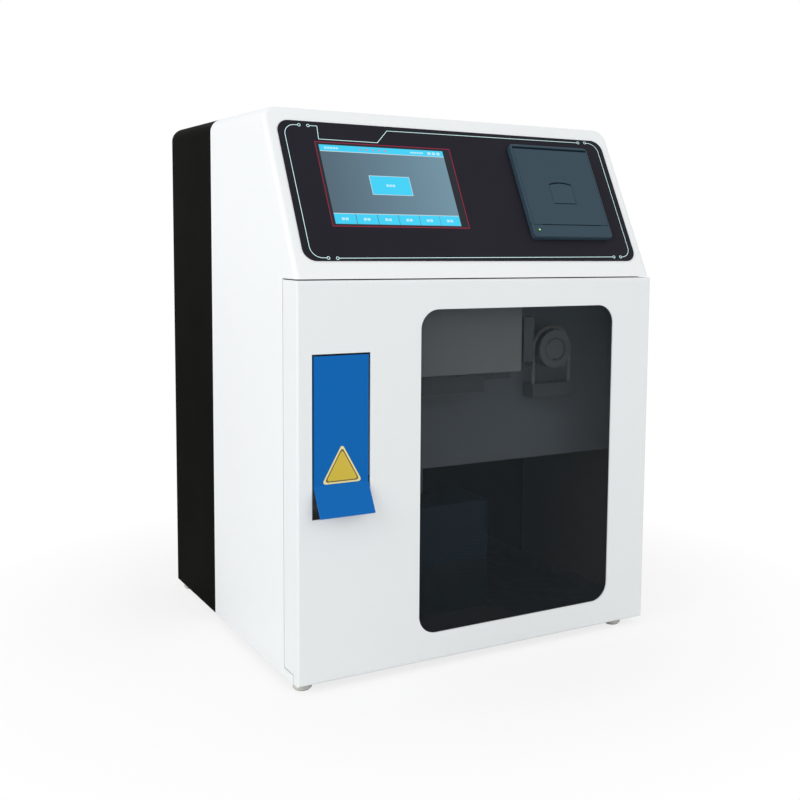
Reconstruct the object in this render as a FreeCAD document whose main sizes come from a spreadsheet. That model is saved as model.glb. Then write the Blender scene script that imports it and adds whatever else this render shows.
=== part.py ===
import FreeCAD, Part
import math
import os
import re
import Sketcher

# Bench-top electrolyte analyzer: a folded white cabinet with a black rear cover,
# a sloping panel with touch display and slip printer, and a hinged front door with
# a smoked window and an aperture for the blue sampler flap.
# Lengths are millimetres. Formulas are written in cabinet axes: x runs right from
# the left side, y back from the door's face, z up from the cabinet's underside.

SIZES = {
    "cabinet_width": 340,
    "cabinet_depth": 326,
    "cabinet_height": 450,
    "fascia_rise": 134.5,
    "front_shell_depth": 200,
    "top_edge_radius": 12,
    "slope_edge_radius": 4,
    "steel": 1.2,
    "fit": 0.2,
    "slide_fit": 0.3,
    "running_gap": 0.05,
    "foot_height": 6,
    "foot_radius": 7.5,
    "foot_taper": 1.5,
    "foot_left_inset": 9,
    "foot_right_inset": 24,
    "foot_front_inset": 13.5,
    "foot_rear_inset": 24,
    "screw_radius": 1.5,
    "screw_head_radius": 2.9,
    "screw_head_height": 1.6,
    "screw_length": 6,
    "cover_screw_inset": 20,
    "motor_screw_pitch": 31,
    "toe_height": 7,
    "toe_setback": 10,
    "tray_lip": 13,
    "tray_slot_width": 4,
    "tray_slot_length": 50,
    "tray_slot_pitch": 10,
    "tray_slot_left": 90,
    "rear_edge_radius": 8,
    "vent_width": 3,
    "vent_length": 46,
    "vent_pitch": 8,
    "vent_bottom": 250,
    "door_depth": 28,
    "door_gap": 1,
    "door_lift": 0.4,
    "door_edge_radius": 1.8,
    "window_left": 105.6,
    "window_bottom": 23.3,
    "window_width": 192.6,
    "window_top": 23.8,
    "window_radius": 16,
    "window_lap": 8,
    "window_thickness": 3,
    "aperture_left": 12,
    "aperture_drop": 55.8,
    "aperture_width": 48.9,
    "aperture_height": 127.7,
    "hinge_inset": 7,
    "hinge_depth": 16,
    "hinge_pin_radius": 2.5,
    "hinge_head_radius": 4.5,
    "hinge_head_height": 1.5,
    "hinge_reach": 4,
    "catch_drop": 22,
    "catch_width": 14,
    "catch_length": 26,
    "catch_depth": 16,
    "strike_length": 12,
    "fascia_tilt": 28.3,
    "fascia_setback": 2,
    "overlay_left": 10,
    "overlay_bottom": 15.3,
    "overlay_width": 320,
    "overlay_top": 12.46,
    "overlay_radius": 10.5,
    "overlay_thickness": 0.8,
    "frame_left": 39,
    "frame_bottom": 45,
    "frame_width": 124.3,
    "frame_height": 77,
    "screen_left": 41.7,
    "screen_bottom": 46.9,
    "screen_width": 114.2,
    "screen_height": 72.7,
    "display_border": 7,
    "display_depth": 8,
    "printer_left": 223,
    "printer_bottom": 35.7,
    "printer_width": 84.2,
    "printer_height": 92.5,
    "bezel_rise": 5.4,
    "bezel_corner_radius": 3.5,
    "bezel_edge_radius": 1.5,
    "bucket_rim": 2.2,
    "bucket_depth": 46,
    "bucket_wall": 1.6,
    "paper_door_left": 2.1,
    "paper_door_bottom": 11.7,
    "paper_door_width": 80,
    "paper_door_height": 75.8,
    "paper_door_thickness": 2.6,
    "paper_pin_radius": 0.7,
    "paper_relief": 0.6,
    "paper_relief_inset": 8,
    "latch_width": 23.5,
    "latch_height": 19.5,
    "latch_bottom": 21.3,
    "latch_arch": 2,
    "latch_brow": 1.2,
    "latch_sill": 0.5,
    "latch_lap": 1,
    "latch_rim": 1.2,
    "platen_radius": 4,
    "platen_drop": 9,
    "platen_setback": 7,
    "roll_radius": 17,
    "roll_width": 57,
    "led_radius": 1.5,
    "led_across": 5.7,
    "led_up": 6.4,
    "cheek_width": 2.5,
    "platen_shaft_radius": 1.5,
    "shaft_boss": 2.5,
    "head_reach": 14,
    "head_thickness": 10,
    "head_leg": 4,
    "flap_gap": 1.5,
    "flap_thickness": 1.5,
    "bend_rise": 26.4,
    "lip_length": 26.2,
    "lip_angle": 30.5,
    "pivot_depth": 10,
    "pivot_drop": 66.5,
    "pivot_radius": 1.5,
    "ear_reach": 15,
    "ear_height": 7,
    "bracket_depth": 32,
    "bracket_skirt": 13,
    "bracket_crown": 3.3,
    "arm_reach": 5,
    "holder_width": 17,
    "holder_depth": 14,
    "holder_height": 20,
    "holder_drop": 12,
    "needle_radius": 0.8,
    "needle_length": 100,
    "needle_top": 4,
    "needle_offset": 3,
    "sample_tube_radius": 1.5,
    "cup_width": 15,
    "cup_wall": 1.8,
    "cup_height": 18,
    "cup_front": 3,
    "cup_rise": 16,
    "cup_backing": 8,
    "drain_radius": 1.5,
    "panel_setback": 50,
    "panel_left": 66,
    "panel_bottom": 150,
    "panel_top": 2.5,
    "panel_flange": 40,
    "panel_rear_gap": 5,
    "carrier_left": 92,
    "carrier_setback": 28,
    "carrier_height": 14,
    "carrier_plate": 4,
    "electrode_width": 18,
    "electrode_depth": 22,
    "electrode_height": 34,
    "electrode_cap_radius": 7,
    "electrode_cap_height": 14,
    "channel_radius": 0.75,
    "cover_left": 86,
    "cover_setback": 22,
    "cover_wall": 1.6,
    "cover_lift": 2,
    "cover_width": 131,
    "cover_height": 59,
    "cover_notch": 8,
    "clamp_bar_left": 222.5,
    "clamp_bar_width": 10.5,
    "clamp_bar_height": 39,
    "clamp_bar_depth": 14,
    "clamp_pad_radius": 4,
    "clamp_pad_length": 3,
    "clamp_stem_radius": 2.4,
    "pump_across": 258,
    "pump_rise": 2.2,
    "pump_setback": 30,
    "rotor_radius": 17,
    "roller_radius": 4.5,
    "roller_orbit": 12.7,
    "roller_length": 8,
    "roller_pin_radius": 1.5,
    "rotor_disc": 2.5,
    "hub_radius": 6.5,
    "dial_radius": 11.2,
    "shaft_radius": 2.5,
    "pump_tube_radius": 1.8,
    "pump_leg": 31,
    "holder_rise": 12,
    "motor_size": 42,
    "motor_depth": 34,
    "motor_boss_radius": 11,
    "boss_reach": 2,
    "sensor_width": 6.5,
    "sensor_height": 14,
    "pack_left": 70,
    "pack_setback": 72,
    "pack_width": 147,
    "pack_depth": 120,
    "pack_height": 100,
    "pack_edge_radius": 4,
    "shelf_height": 10,
    "shelf_overhang": 4,
    "reagent_tube_radius": 1.5,
    "port_spacing": 14,
    "port_setback": 22,
    "recess_depth": 3,
    "connector_height": 10,
    "manifold_lift": 4,
    "manifold_height": 16,
    "valve_radius": 6,
    "valve_height": 24,
    "board_gap": 8,
    "board_thickness": 1.6,
    "board_bottom": 95,
    "board_height": 190,
    "supply_left": 150,
    "supply_setback": 12,
    "supply_width": 100,
    "supply_depth": 72,
    "supply_height": 36,
    "inlet_across": 290,
    "inlet_up": 34,
    "inlet_width": 30,
    "inlet_height": 70,
    "inlet_flange": 2,
    "inlet_depth": 24,
    "inlet_lap": 3,
    "socket_width": 16.5,
    "socket_height": 24,
    "socket_bottom": 5.5,
    "socket_depth": 16,
    "blade_width": 2,
    "blade_height": 4,
    "drawer_width": 18,
    "drawer_height": 7,
    "drawer_depth": 18,
    "drawer_bottom": 33,
    "grip_reach": 1.2,
    "rocker_width": 12.8,
    "rocker_half": 9.1,
    "rocker_tilt": 9,
    "rocker_pin_radius": 1,
    "rocker_up": 54.7,
    "rocker_sink": 1,
    "post_reach": 12,
    "post_root": 8,
    "post_radius": 2.5,
    "post_spacing": 22,
    "port_left": 170,
    "port_up": 34,
    "port_width": 31,
    "port_height": 12.5,
    "port_ear": 6,
    "port_reach": 6,
    "port_case": 8,
    "port_pin_radius": 0.6,
    "port_pin_pitch": 2.7,
}

# Sizes that follow from the ones above, worked out in the same sheet
FOLLOWING = {
    "slope_length": "fascia_rise / cos(fascia_tilt)",
    "overlay_height": "slope_length - overlay_bottom - overlay_top",
    "vent_left": "(cabinet_width - 17 * vent_pitch - vent_width) / 2",
    "door_height": "cabinet_height - fascia_rise - door_gap",
    "window_height": "door_height - window_bottom - window_top",
    "aperture_bottom": "door_height - aperture_drop - aperture_height",
    "flap_bend": "aperture_bottom + bend_rise",
    "pivot_height": "door_height - pivot_drop",
    "bracket_bottom": "aperture_bottom - bracket_skirt",
    "bracket_height": "aperture_height + bracket_skirt + bracket_crown",
    "catch_height": "bracket_bottom - catch_drop - catch_length",
    "panel_height": "door_height - panel_top - panel_bottom",
    "carrier_top": "pivot_height - electrode_height / 2",
    "carrier_base": "carrier_top - carrier_height",
    "cover_bottom": "carrier_top + cover_lift",
    "pump_height": "pivot_height + pump_rise",
}
CONTENTS = {**SIZES, **{name: "=" + formula for name, formula in FOLLOWING.items()}}

doc = FreeCAD.newDocument("electrolyte_analyzer")
sheet = doc.addObject("Spreadsheet::Sheet", "Sizes")
for row, (name, content) in enumerate(CONTENTS.items(), start=1):
    sheet.set(f"A{row}", name.replace("_", " "))
    sheet.set(f"B{row}", str(content))
    sheet.setAlias(f"B{row}", name)
doc.recompute()

FORWARD = FreeCAD.Rotation(FreeCAD.Vector(1, 0, 0), 90)
BACKWARD = FreeCAD.Rotation(FreeCAD.Vector(1, 0, 0), -90)
SIDEWAYS = FreeCAD.Rotation(FreeCAD.Vector(0, 1, 0), 90)
UPSIDE_DOWN = FreeCAD.Rotation(FreeCAD.Vector(1, 0, 0), 180)
UPRIGHT = FreeCAD.Rotation()
QUARTER_BACK = FreeCAD.Rotation(FreeCAD.Vector(0, 0, 1), -90)
QUARTER_AHEAD = FreeCAD.Rotation(FreeCAD.Vector(0, 0, 1), 90)
ON_SLOPE = FreeCAD.Rotation(FreeCAD.Vector(1, 0, 0), 90 - SIZES["fascia_tilt"])

# Formulas that several pieces share, in cabinet axes
MIDDLE_Y = "(cabinet_depth + post_reach - lip_length * sin(lip_angle)) / 2"
PANEL_FRONT = "(door_depth + door_gap)"
DOOR_FLOOR = "(toe_height + door_gap)"
SLOPE_BOTTOM = "(door_height + door_gap)"
SLOPE_TOP_Y = "(fascia_setback + fascia_rise * tan(fascia_tilt))"
HINGE_X = "(cabinet_width - hinge_inset)"
INSIDE_WIDTH = "(cabinet_width - 2 * steel)"
FOOT_SPOTS = [(across, deep) for deep in ("foot_front_inset", "(cabinet_depth - foot_rear_inset)")
              for across in ("foot_left_inset", "(cabinet_width - foot_right_inset)")]
PANEL_WIDTH = "(cabinet_width - steel - panel_left)"
COVER_SCREW_SPOTS = ("cover_screw_inset", "cabinet_width / 2", "(cabinet_width - cover_screw_inset)")
COVER_SCREW_Z = "(0.6 * tray_lip)"
MOTOR_SCREW_SPOTS = [(f"(pump_across {across} motor_screw_pitch / 2)",
                      f"(pump_height {up} motor_screw_pitch / 2)")
                     for across in "+-" for up in "+-"]
FLAP_LEFT = "(aperture_left + flap_gap)"
FLAP_WIDTH = "(aperture_width - 2 * flap_gap)"
FLAP_TOP = "(aperture_bottom + aperture_height - flap_gap)"
NEEDLE_X = "(aperture_left + aperture_width / 2)"
NEEDLE_Y = "(pivot_depth + needle_offset)"
SAMPLE_Y = "(carrier_setback + electrode_depth / 2)"
SAMPLE_Z = "(carrier_top + electrode_height / 2)"
PUMP_Y = "(pump_setback + rotor_disc + slide_fit + roller_length / 2)"
TUBE_LOOP = "(rotor_radius + 2 * slide_fit + pump_tube_radius)"
SHAFT_END = "(panel_setback + steel + motor_depth / 2)"
TUBE_MIDDLE = "(pack_left + pack_width / 2)"
TUBE_SPOTS = [f"({TUBE_MIDDLE} + {step} * port_spacing)" for step in (-1, 0, 1)]
PORT_Y = "(pack_setback + port_setback)"
PACK_TOP = "(shelf_height + pack_height)"
BOARD_X = "(panel_left - board_gap - board_thickness)"
BOARD_Y = "(panel_setback + 3 * board_gap)"
BOARD_DEPTH = "(front_shell_depth - panel_setback - 4 * board_gap)"
INLET_LEFT = "(inlet_across - inlet_width / 2)"
INLET_BACK = "(cabinet_depth + inlet_flange)"
ROCKER_Y = f"({INLET_BACK} - rocker_sink)"
ROCKER_Z = "(inlet_up + rocker_up)"
POST_X = "(inlet_across - inlet_width / 2 - post_spacing)"
POST_Z = "(inlet_up + post_reach)"

# Places inside the printer, in its own axes: across, up and out from its lower left corner
PAPER_PIN_UP = "(paper_door_bottom + paper_door_thickness / 2)"
PAPER_PIN_OUT = "(bezel_rise - paper_door_thickness / 2)"
PLATEN_UP = "(paper_door_bottom + paper_door_height - platen_setback)"
PLATEN_OUT = "(bezel_rise - platen_drop)"
ROLL_LEFT = "(printer_width / 2 - roll_width / 2)"
CHEEK_LEFT = "(printer_width / 2 - roll_width / 2 - cheek_width - slide_fit)"
CHEEK_RIGHT = "(printer_width / 2 + roll_width / 2 + slide_fit)"
ROLL_UP = "(paper_door_bottom + roll_radius)"
ROLL_OUT = "(bucket_wall - bucket_depth + roll_radius)"
LATCH_LEFT = "(printer_width / 2 - latch_width / 2)"
LATCH_UP = "(paper_door_bottom + latch_bottom)"
ARCH_RADIUS = "(latch_width * latch_width / latch_arch / 8 + latch_arch / 2)"

kept = []


def size(name):
    """A driving size, for shapes that are worked out in code."""
    return float(sheet.get(name))


def link(formula):
    """Point the size names in a formula at the sheet."""
    return re.sub(r"[a-z_]+", lambda word: f"Sizes.{word[0]}" if word[0] in CONTENTS else word[0],
                  formula)


def bind(item, **formulas):
    for prop, formula in formulas.items():
        item.setExpression(prop, link(formula))
    return item


def keep(item, name):
    """Name a finished piece of the analyzer."""
    item.Label = name
    kept.append(item)
    return item


def place(item, x="0", y="0", z="0", turn=UPRIGHT):
    """Set an item down at a point given in cabinet axes."""
    item.Placement = FreeCAD.Placement(FreeCAD.Vector(), turn)
    item.setExpression("Placement.Base.x", link(f"{x} - cabinet_width / 2"))
    item.setExpression("Placement.Base.y", link(f"{y} - {MIDDLE_Y}"))
    item.setExpression("Placement.Base.z", link(f"{z} + foot_height"))
    return item


def place_on_slope(item, across="0", up="0", out="0", turn=UPRIGHT):
    """Set an item down on the sloping panel: across, up from its lower edge, out from its face."""
    item.Placement = FreeCAD.Placement(FreeCAD.Vector(), ON_SLOPE.multiply(turn))
    item.setExpression("Placement.Base.x", link(f"{across} - cabinet_width / 2"))
    item.setExpression("Placement.Base.y", link(f"fascia_setback + ({up}) * sin(fascia_tilt)"
                                                f" - ({out}) * cos(fascia_tilt) - {MIDDLE_Y}"))
    item.setExpression("Placement.Base.z", link(f"{SLOPE_BOTTOM} + ({up}) * cos(fascia_tilt)"
                                                f" + ({out}) * sin(fascia_tilt) + foot_height"))
    return item


def box(name, length, width, height, x, y, z, turn=UPRIGHT):
    item = doc.addObject("Part::Box", name)
    bind(item, Length=length, Width=width, Height=height)
    return place(item, x, y, z, turn)


def rod(name, radius, length, x, y, z, turn=UPRIGHT):
    item = doc.addObject("Part::Cylinder", name)
    bind(item, Radius=radius, Height=length)
    return place(item, x, y, z, turn)


def cut(name, base, *tools):
    if len(tools) > 1:
        tool = doc.addObject("Part::MultiFuse", name + "_tools")
        tool.Shapes = list(tools)
    else:
        tool = tools[0]
    item = doc.addObject("Part::Cut", name)
    item.Base = base
    item.Tool = tool
    return item


def fuse(name, *pieces):
    item = doc.addObject("Part::MultiFuse", name)
    item.Shapes = list(pieces)
    item.Refine = True
    return item


def group(name, *pieces):
    """Several like pieces that stay separate solids in one node."""
    item = doc.addObject("Part::Compound", name)
    item.Links = list(pieces)
    return item


def new_body(name):
    return doc.addObject("PartDesign::Body", name)


def sketch_on(body, role, name, offset="0"):
    """A sketch on one of the body's own origin planes, moved along its normal."""
    plane = next(item for item in body.Origin.OriginFeatures if item.Role == role)
    sketch = body.newObject("Sketcher::SketchObject", name)
    sketch.AttachmentSupport = (plane, [""])
    sketch.MapMode = "FlatFace"
    sketch.setExpression("AttachmentOffset.Base.z", link(offset))
    return sketch


def pin_point(sketch, curve, end, across, up):
    """Fix one point of a curve by two lengths from the sketch's origin."""
    for kind, formula in (("DistanceX", across), ("DistanceY", up)):
        index = sketch.addConstraint(Sketcher.Constraint(kind, -1, 1, curve, end, 1.0))
        sketch.renameConstraint(index, f"{kind}_{index}")
        sketch.setExpression(f"Constraints.{kind}_{index}", link(formula))


def outline(sketch, *corners):
    """A closed run of straight lines through corners given as formulas."""
    first = sketch.GeometryCount
    count = len(corners)
    spread = [FreeCAD.Vector(math.cos(2 * math.pi * step / count), math.sin(2 * math.pi * step / count))
              for step in range(count)]
    for step in range(count):
        sketch.addGeometry(Part.LineSegment(spread[step], spread[(step + 1) % count]))
    for step, (across, up) in enumerate(corners):
        following = first + (step + 1) % count
        sketch.addConstraint(Sketcher.Constraint("Coincident", first + step, 2, following, 1))
        pin_point(sketch, first + step, 1, across, up)


def rectangle(sketch, left, bottom, width, height):
    right, top = f"({left} + {width})", f"({bottom} + {height})"
    outline(sketch, (left, bottom), (right, bottom), (right, top), (left, top))


def circle(sketch, across, up, radius):
    index = sketch.addGeometry(Part.Circle(FreeCAD.Vector(1, 1, 0), FreeCAD.Vector(0, 0, 1), 1))
    pin_point(sketch, index, 3, across, up)
    number = sketch.addConstraint(Sketcher.Constraint("Radius", index, 1.0))
    sketch.renameConstraint(number, f"Radius_{number}")
    sketch.setExpression(f"Constraints.Radius_{number}", link(radius))


def pad(body, sketch, length, name, back=False):
    item = body.newObject("PartDesign::Pad", name)
    item.Profile = sketch
    item.Reversed = back
    bind(item, Length=length)
    doc.recompute()
    return item


def pocket(body, sketch, depth, name, back=False):
    """Cut a sketch into the body, and make sure that it took something away."""
    before = body.Shape.Volume
    item = body.newObject("PartDesign::Pocket", name)
    item.Profile = sketch
    item.Reversed = back
    bind(item, Length=depth)
    doc.recompute()
    if body.Shape.Volume > before - 1e-3:
        raise ValueError(f"{name} cuts nothing")
    return item


def turn_profile(body, sketch, name):
    """Revolve a sketch once round its own upright axis."""
    item = body.newObject("PartDesign::Revolution", name)
    item.Profile = sketch
    item.ReferenceAxis = (sketch, ["V_Axis"])
    item.Angle = 360
    doc.recompute()
    return item


def edges_where(feature, test):
    return [f"Edge{number}" for number, edge in enumerate(feature.Shape.Edges, start=1) if test(edge)]


def faces_where(feature, test):
    return [f"Face{number}" for number, face in enumerate(feature.Shape.Faces, start=1) if test(face)]


def runs_along(edge, axis):
    """Whether an edge is a straight line in the direction of an axis."""
    if len(edge.Vertexes) < 2:
        return False
    span = edge.Vertexes[1].Point - edge.Vertexes[0].Point
    return near(span.Length, edge.Length) and abs(span.dot(axis)) > 0.999999 * span.Length


def round_edges(body, feature, edges, radius, name):
    item = body.newObject("PartDesign::Fillet", name)
    item.Base = (feature, edges)
    bind(item, Radius=radius)
    doc.recompute()
    return item


X_AXIS = FreeCAD.Vector(1, 0, 0)
Y_AXIS = FreeCAD.Vector(0, 1, 0)
Z_AXIS = FreeCAD.Vector(0, 0, 1)


def near(value, target):
    return abs(value - target) < 1e-4


# Cabinet shell: sides, top and sloping panel folded from one sheet
def rounded_block(name, corners, left, width, top, top_radius, slope_radius):
    """A block of the cabinet's side outline, with its long top edges and its sloping edges rounded."""
    body = new_body(name)
    side = sketch_on(body, "YZ_Plane", name + "_side", left)
    outline(side, *corners)
    block = pad(body, side, width, name + "_pad")
    long_edges = edges_where(block, lambda edge: runs_along(edge, Y_AXIS) and near(edge.CenterOfMass.z, top))
    rounded = round_edges(body, block, long_edges, top_radius, name + "_top_edges")
    slope = ON_SLOPE.multVec(Y_AXIS)
    sloped = edges_where(rounded, lambda edge: runs_along(edge, slope))
    round_edges(body, rounded, sloped, slope_radius, name + "_slope_edges")
    return place(body)


def make_cabinet_shell():
    outer = rounded_block(
        "shell_outside",
        [("toe_setback", "0"), ("front_shell_depth", "0"), ("front_shell_depth", "cabinet_height"),
         (SLOPE_TOP_Y, "cabinet_height"), ("fascia_setback", SLOPE_BOTTOM),
         (PANEL_FRONT, SLOPE_BOTTOM), (PANEL_FRONT, "toe_height"), ("toe_setback", "toe_height")],
        "0", "cabinet_width", size("cabinet_height"), "top_edge_radius", "slope_edge_radius")
    inner_top = "(cabinet_height - steel)"
    inner_floor = f"({SLOPE_BOTTOM} + steel)"
    behind = "(fascia_setback + steel / cos(fascia_tilt))"
    inner = rounded_block(
        "shell_inside",
        [("-20", "-1"), ("(front_shell_depth + 1)", "-1"), ("(front_shell_depth + 1)", inner_top),
         (f"({behind} + ({inner_top} - {SLOPE_BOTTOM}) * tan(fascia_tilt))", inner_top),
         (f"({behind} + steel * tan(fascia_tilt))", inner_floor), (PANEL_FRONT, inner_floor),
         (PANEL_FRONT, f"({SLOPE_BOTTOM} - 1)"), ("-20", f"({SLOPE_BOTTOM} - 1)")],
        "steel", "cabinet_width - 2 * steel", size("cabinet_height") - size("steel"),
        "top_edge_radius - steel", "slope_edge_radius - steel")
    screen = box("screen_cutout", "screen_width + 2 * slide_fit", "screen_height + 2 * slide_fit",
                 "4 * steel", "0", "0", "0")
    place_on_slope(screen, "screen_left - slide_fit", "screen_bottom - slide_fit", "-2 * steel")
    printer = box("printer_cutout", "printer_width - 2 * bucket_rim + 2 * fit",
                  "printer_height - 2 * bucket_rim + 2 * fit", "4 * steel", "0", "0", "0")
    place_on_slope(printer, "printer_left + bucket_rim - fit", "printer_bottom + bucket_rim - fit",
                   "-2 * steel")
    pin = rod("upper_pin_hole", "hinge_pin_radius", "4 * steel", HINGE_X, "hinge_depth",
              f"{SLOPE_BOTTOM} - steel")
    return keep(cut("cabinet_shell", outer, inner, screen, printer, pin), "cabinet_shell")


# Rear cover: a black pan that closes the back, with vents and openings for the inlet
def make_rear_cover():
    body = new_body("rear_cover_pan")
    foot = sketch_on(body, "XY_Plane", "cover_plan")
    rectangle(foot, "0", "front_shell_depth", "cabinet_width", "(cabinet_depth - front_shell_depth)")
    block = pad(body, foot, "cabinet_height", "cover_block")
    top, back = size("cabinet_height"), size("cabinet_depth")
    long_edges = edges_where(block, lambda edge: near(edge.CenterOfMass.z, top)
                             and edge.CenterOfMass.y > size("front_shell_depth") + 1)
    rounded = round_edges(body, block, long_edges, "top_edge_radius", "cover_top_edges")
    upright = edges_where(rounded, lambda edge: runs_along(edge, Z_AXIS) and near(edge.CenterOfMass.y, back))
    eased = round_edges(body, rounded, upright, "rear_edge_radius", "cover_upright_edges")
    opened = faces_where(eased, lambda face: near(face.CenterOfMass.z, 0)
                         or near(face.CenterOfMass.y, size("front_shell_depth")))
    hollow = body.newObject("PartDesign::Thickness", "cover_hollow")
    hollow.Base = (eased, opened)
    hollow.Reversed = True
    hollow.Join = 1
    bind(hollow, Value="steel")
    doc.recompute()
    inlet = sketch_on(body, "XZ_Plane", "inlet_opening", "-cabinet_depth - 1")
    rectangle(inlet, f"({INLET_LEFT} + inlet_lap)", "(inlet_up + inlet_lap)", "(inlet_width - 2 * inlet_lap)",
              "(inlet_height - 2 * inlet_lap)")
    circle(inlet, POST_X, POST_Z, "post_radius + fit")
    rectangle(inlet, "(port_left + port_ear)", "(port_up + steel)", "(port_width - 2 * port_ear)",
              "(port_height - 2 * steel)")
    for across in COVER_SCREW_SPOTS:
        circle(inlet, across, COVER_SCREW_Z, "screw_radius + running_gap")
    pocket(body, inlet, "steel + 2", "rear_openings", back=True)
    vent = sketch_on(body, "XZ_Plane", "first_vent", "-cabinet_depth - 1")
    rectangle(vent, "vent_left", "vent_bottom", "vent_width", "vent_length")
    slot = pocket(body, vent, "steel + 2", "vent_slot", back=True)
    row = body.newObject("PartDesign::LinearPattern", "vent_row")
    row.Originals = [slot]
    row.Direction = (vent, ["H_Axis"])
    row.Mode = "Spacing"
    bind(row, Offset="vent_pitch")
    row.Occurrences = 18
    body.Tip = row
    doc.recompute()
    place(body)
    return keep(body, "rear_cover")


# Base tray: floor with a boxed front ledge that carries the door, and upturned edges
def make_base_tray():
    body = new_body("base_tray")
    side = sketch_on(body, "YZ_Plane", "tray_section", "steel")
    ledge = "(toe_height - steel)"
    rear = "(cabinet_depth - steel)"
    outline(side,
            ("toe_setback", "0"), (rear, "0"), (rear, "tray_lip"), (f"{rear} - steel", "tray_lip"),
            (f"{rear} - steel", "steel"), ("toe_setback + steel", "steel"), ("toe_setback + steel", ledge),
            (PANEL_FRONT, ledge), (PANEL_FRONT, "toe_height"), ("toe_setback", "toe_height"))
    fold = pad(body, side, INSIDE_WIDTH, "tray_fold")
    corners = edges_where(fold, lambda edge: runs_along(edge, Z_AXIS) and edge.Length > size("toe_height")
                          and near(edge.CenterOfMass.y, size("cabinet_depth") - size("steel")))
    round_edges(body, fold, corners, "rear_edge_radius - steel", "tray_corners")
    start, length = f"({PANEL_FRONT} + steel)", f"({rear} - rear_edge_radius - {PANEL_FRONT} - steel)"
    left = sketch_on(body, "YZ_Plane", "left_upturn", "steel")
    rectangle(left, start, "0", length, "tray_lip")
    pad(body, left, "steel", "left_flange")
    right = sketch_on(body, "YZ_Plane", "right_upturn", f"steel + {INSIDE_WIDTH}")
    rectangle(right, start, "0", length, "tray_lip")
    pad(body, right, "steel", "right_flange", back=True)
    holes = sketch_on(body, "XY_Plane", "tray_holes", "steel")
    for across, deep in FOOT_SPOTS:
        circle(holes, across, deep, "screw_radius + running_gap")
    pocket(body, holes, "steel + 1", "foot_screw_holes")
    lip = sketch_on(body, "XZ_Plane", "lip_holes", "-cabinet_depth")
    for across in COVER_SCREW_SPOTS:
        circle(lip, across, COVER_SCREW_Z, "screw_radius + running_gap")
    pocket(body, lip, "3 * steel", "cover_screw_holes", back=True)
    hinge = sketch_on(body, "XY_Plane", "hinge_hole", "toe_height")
    circle(hinge, HINGE_X, "hinge_depth", "hinge_pin_radius")
    pocket(body, hinge, "2 * steel", "lower_pin_hole")
    slot = sketch_on(body, "XY_Plane", "first_slot", "steel")
    rectangle(slot, "tray_slot_left", "(front_shell_depth + tray_slot_pitch)", "tray_slot_length",
              "tray_slot_width")
    cutting = pocket(body, slot, "steel + 1", "floor_slot")
    row = body.newObject("PartDesign::LinearPattern", "floor_slots")
    row.Originals = [cutting]
    row.Direction = (slot, ["V_Axis"])
    row.Mode = "Spacing"
    bind(row, Offset="tray_slot_pitch")
    row.Occurrences = 7
    body.Tip = row
    doc.recompute()
    place(body)
    return keep(body, "base_tray")


# Front door: a steel pan with the window opening and the sampler's aperture
def make_front_door():
    body = new_body("front_door")
    face = sketch_on(body, "XZ_Plane", "door_face")
    rectangle(face, "0", "door_lift", "cabinet_width", "(door_height - door_lift)")
    block = pad(body, face, "door_depth", "door_block", back=True)
    rim = edges_where(block, lambda edge: near(edge.CenterOfMass.y, 0))
    round_edges(body, block, rim, "door_edge_radius", "door_front_edges")
    inside = sketch_on(body, "XZ_Plane", "door_inside", "-door_depth")
    rectangle(inside, "steel", f"({DOOR_FLOOR} + steel)", "(cabinet_width - 2 * steel)",
              f"(door_height - {DOOR_FLOOR} - 2 * steel)")
    pocket(body, inside, "door_depth - steel", "door_hollow", back=True)
    under = sketch_on(body, "XZ_Plane", "door_underside", "-door_depth")
    rectangle(under, "steel", "-1", "(cabinet_width - 2 * steel)", f"({DOOR_FLOOR} + 1)")
    pocket(body, under, "door_depth - steel", "door_skirt", back=True)
    notch = sketch_on(body, "YZ_Plane", "toe_notch", "-1")
    rectangle(notch, "(toe_setback - door_gap)", "-1", "door_depth", f"({DOOR_FLOOR} + 1)")
    pocket(body, notch, "cabinet_width + 2", "side_notches", back=True)
    relief = sketch_on(body, "YZ_Plane", "hinge_relief", "cabinet_width + 1")
    rectangle(relief, "toe_setback / 2", "-1", "door_depth", f"({DOOR_FLOOR} + 1)")
    pocket(body, relief, "steel + 1", "hinge_side_relief")
    window = sketch_on(body, "XZ_Plane", "window_outline", "1")
    rectangle(window, "window_left", "window_bottom", "window_width", "window_height")
    opening = pocket(body, window, "steel + 2", "window_opening")
    corners = edges_where(opening, lambda edge: runs_along(edge, Y_AXIS) and edge.Length < 2 * size("steel")
                          and edge.CenterOfMass.x > size("window_left") - 1
                          and edge.CenterOfMass.x < size("window_left") + size("window_width") + 1
                          and edge.CenterOfMass.z > size("window_bottom") - 1
                          and edge.CenterOfMass.z < size("window_bottom") + size("window_height") + 1)
    round_edges(body, opening, corners, "window_radius", "window_corners")
    aperture = sketch_on(body, "XZ_Plane", "aperture_outline", "1")
    rectangle(aperture, "aperture_left", "aperture_bottom", "aperture_width", "aperture_height")
    pocket(body, aperture, "steel + 2", "flap_aperture")
    pins = sketch_on(body, "XY_Plane", "pin_holes", "-1")
    circle(pins, HINGE_X, "hinge_depth", "hinge_pin_radius + running_gap")
    pocket(body, pins, "door_height + 2", "pin_bores", back=True)
    place(body)
    return keep(body, "front_door")


# Door window: smoked acrylic sheet behind the door's skin
def make_door_window():
    body = new_body("door_window")
    face = sketch_on(body, "XZ_Plane", "window_sheet", "-steel")
    rectangle(face, "(window_left - window_lap)", "(window_bottom - window_lap)",
              "(window_width + 2 * window_lap)", "(window_height + 2 * window_lap)")
    block = pad(body, face, "window_thickness", "window_block", back=True)
    corners = edges_where(block, lambda edge: runs_along(edge, Y_AXIS))
    round_edges(body, block, corners, "window_radius", "sheet_corners")
    place(body)
    return keep(body, "door_window")


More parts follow.
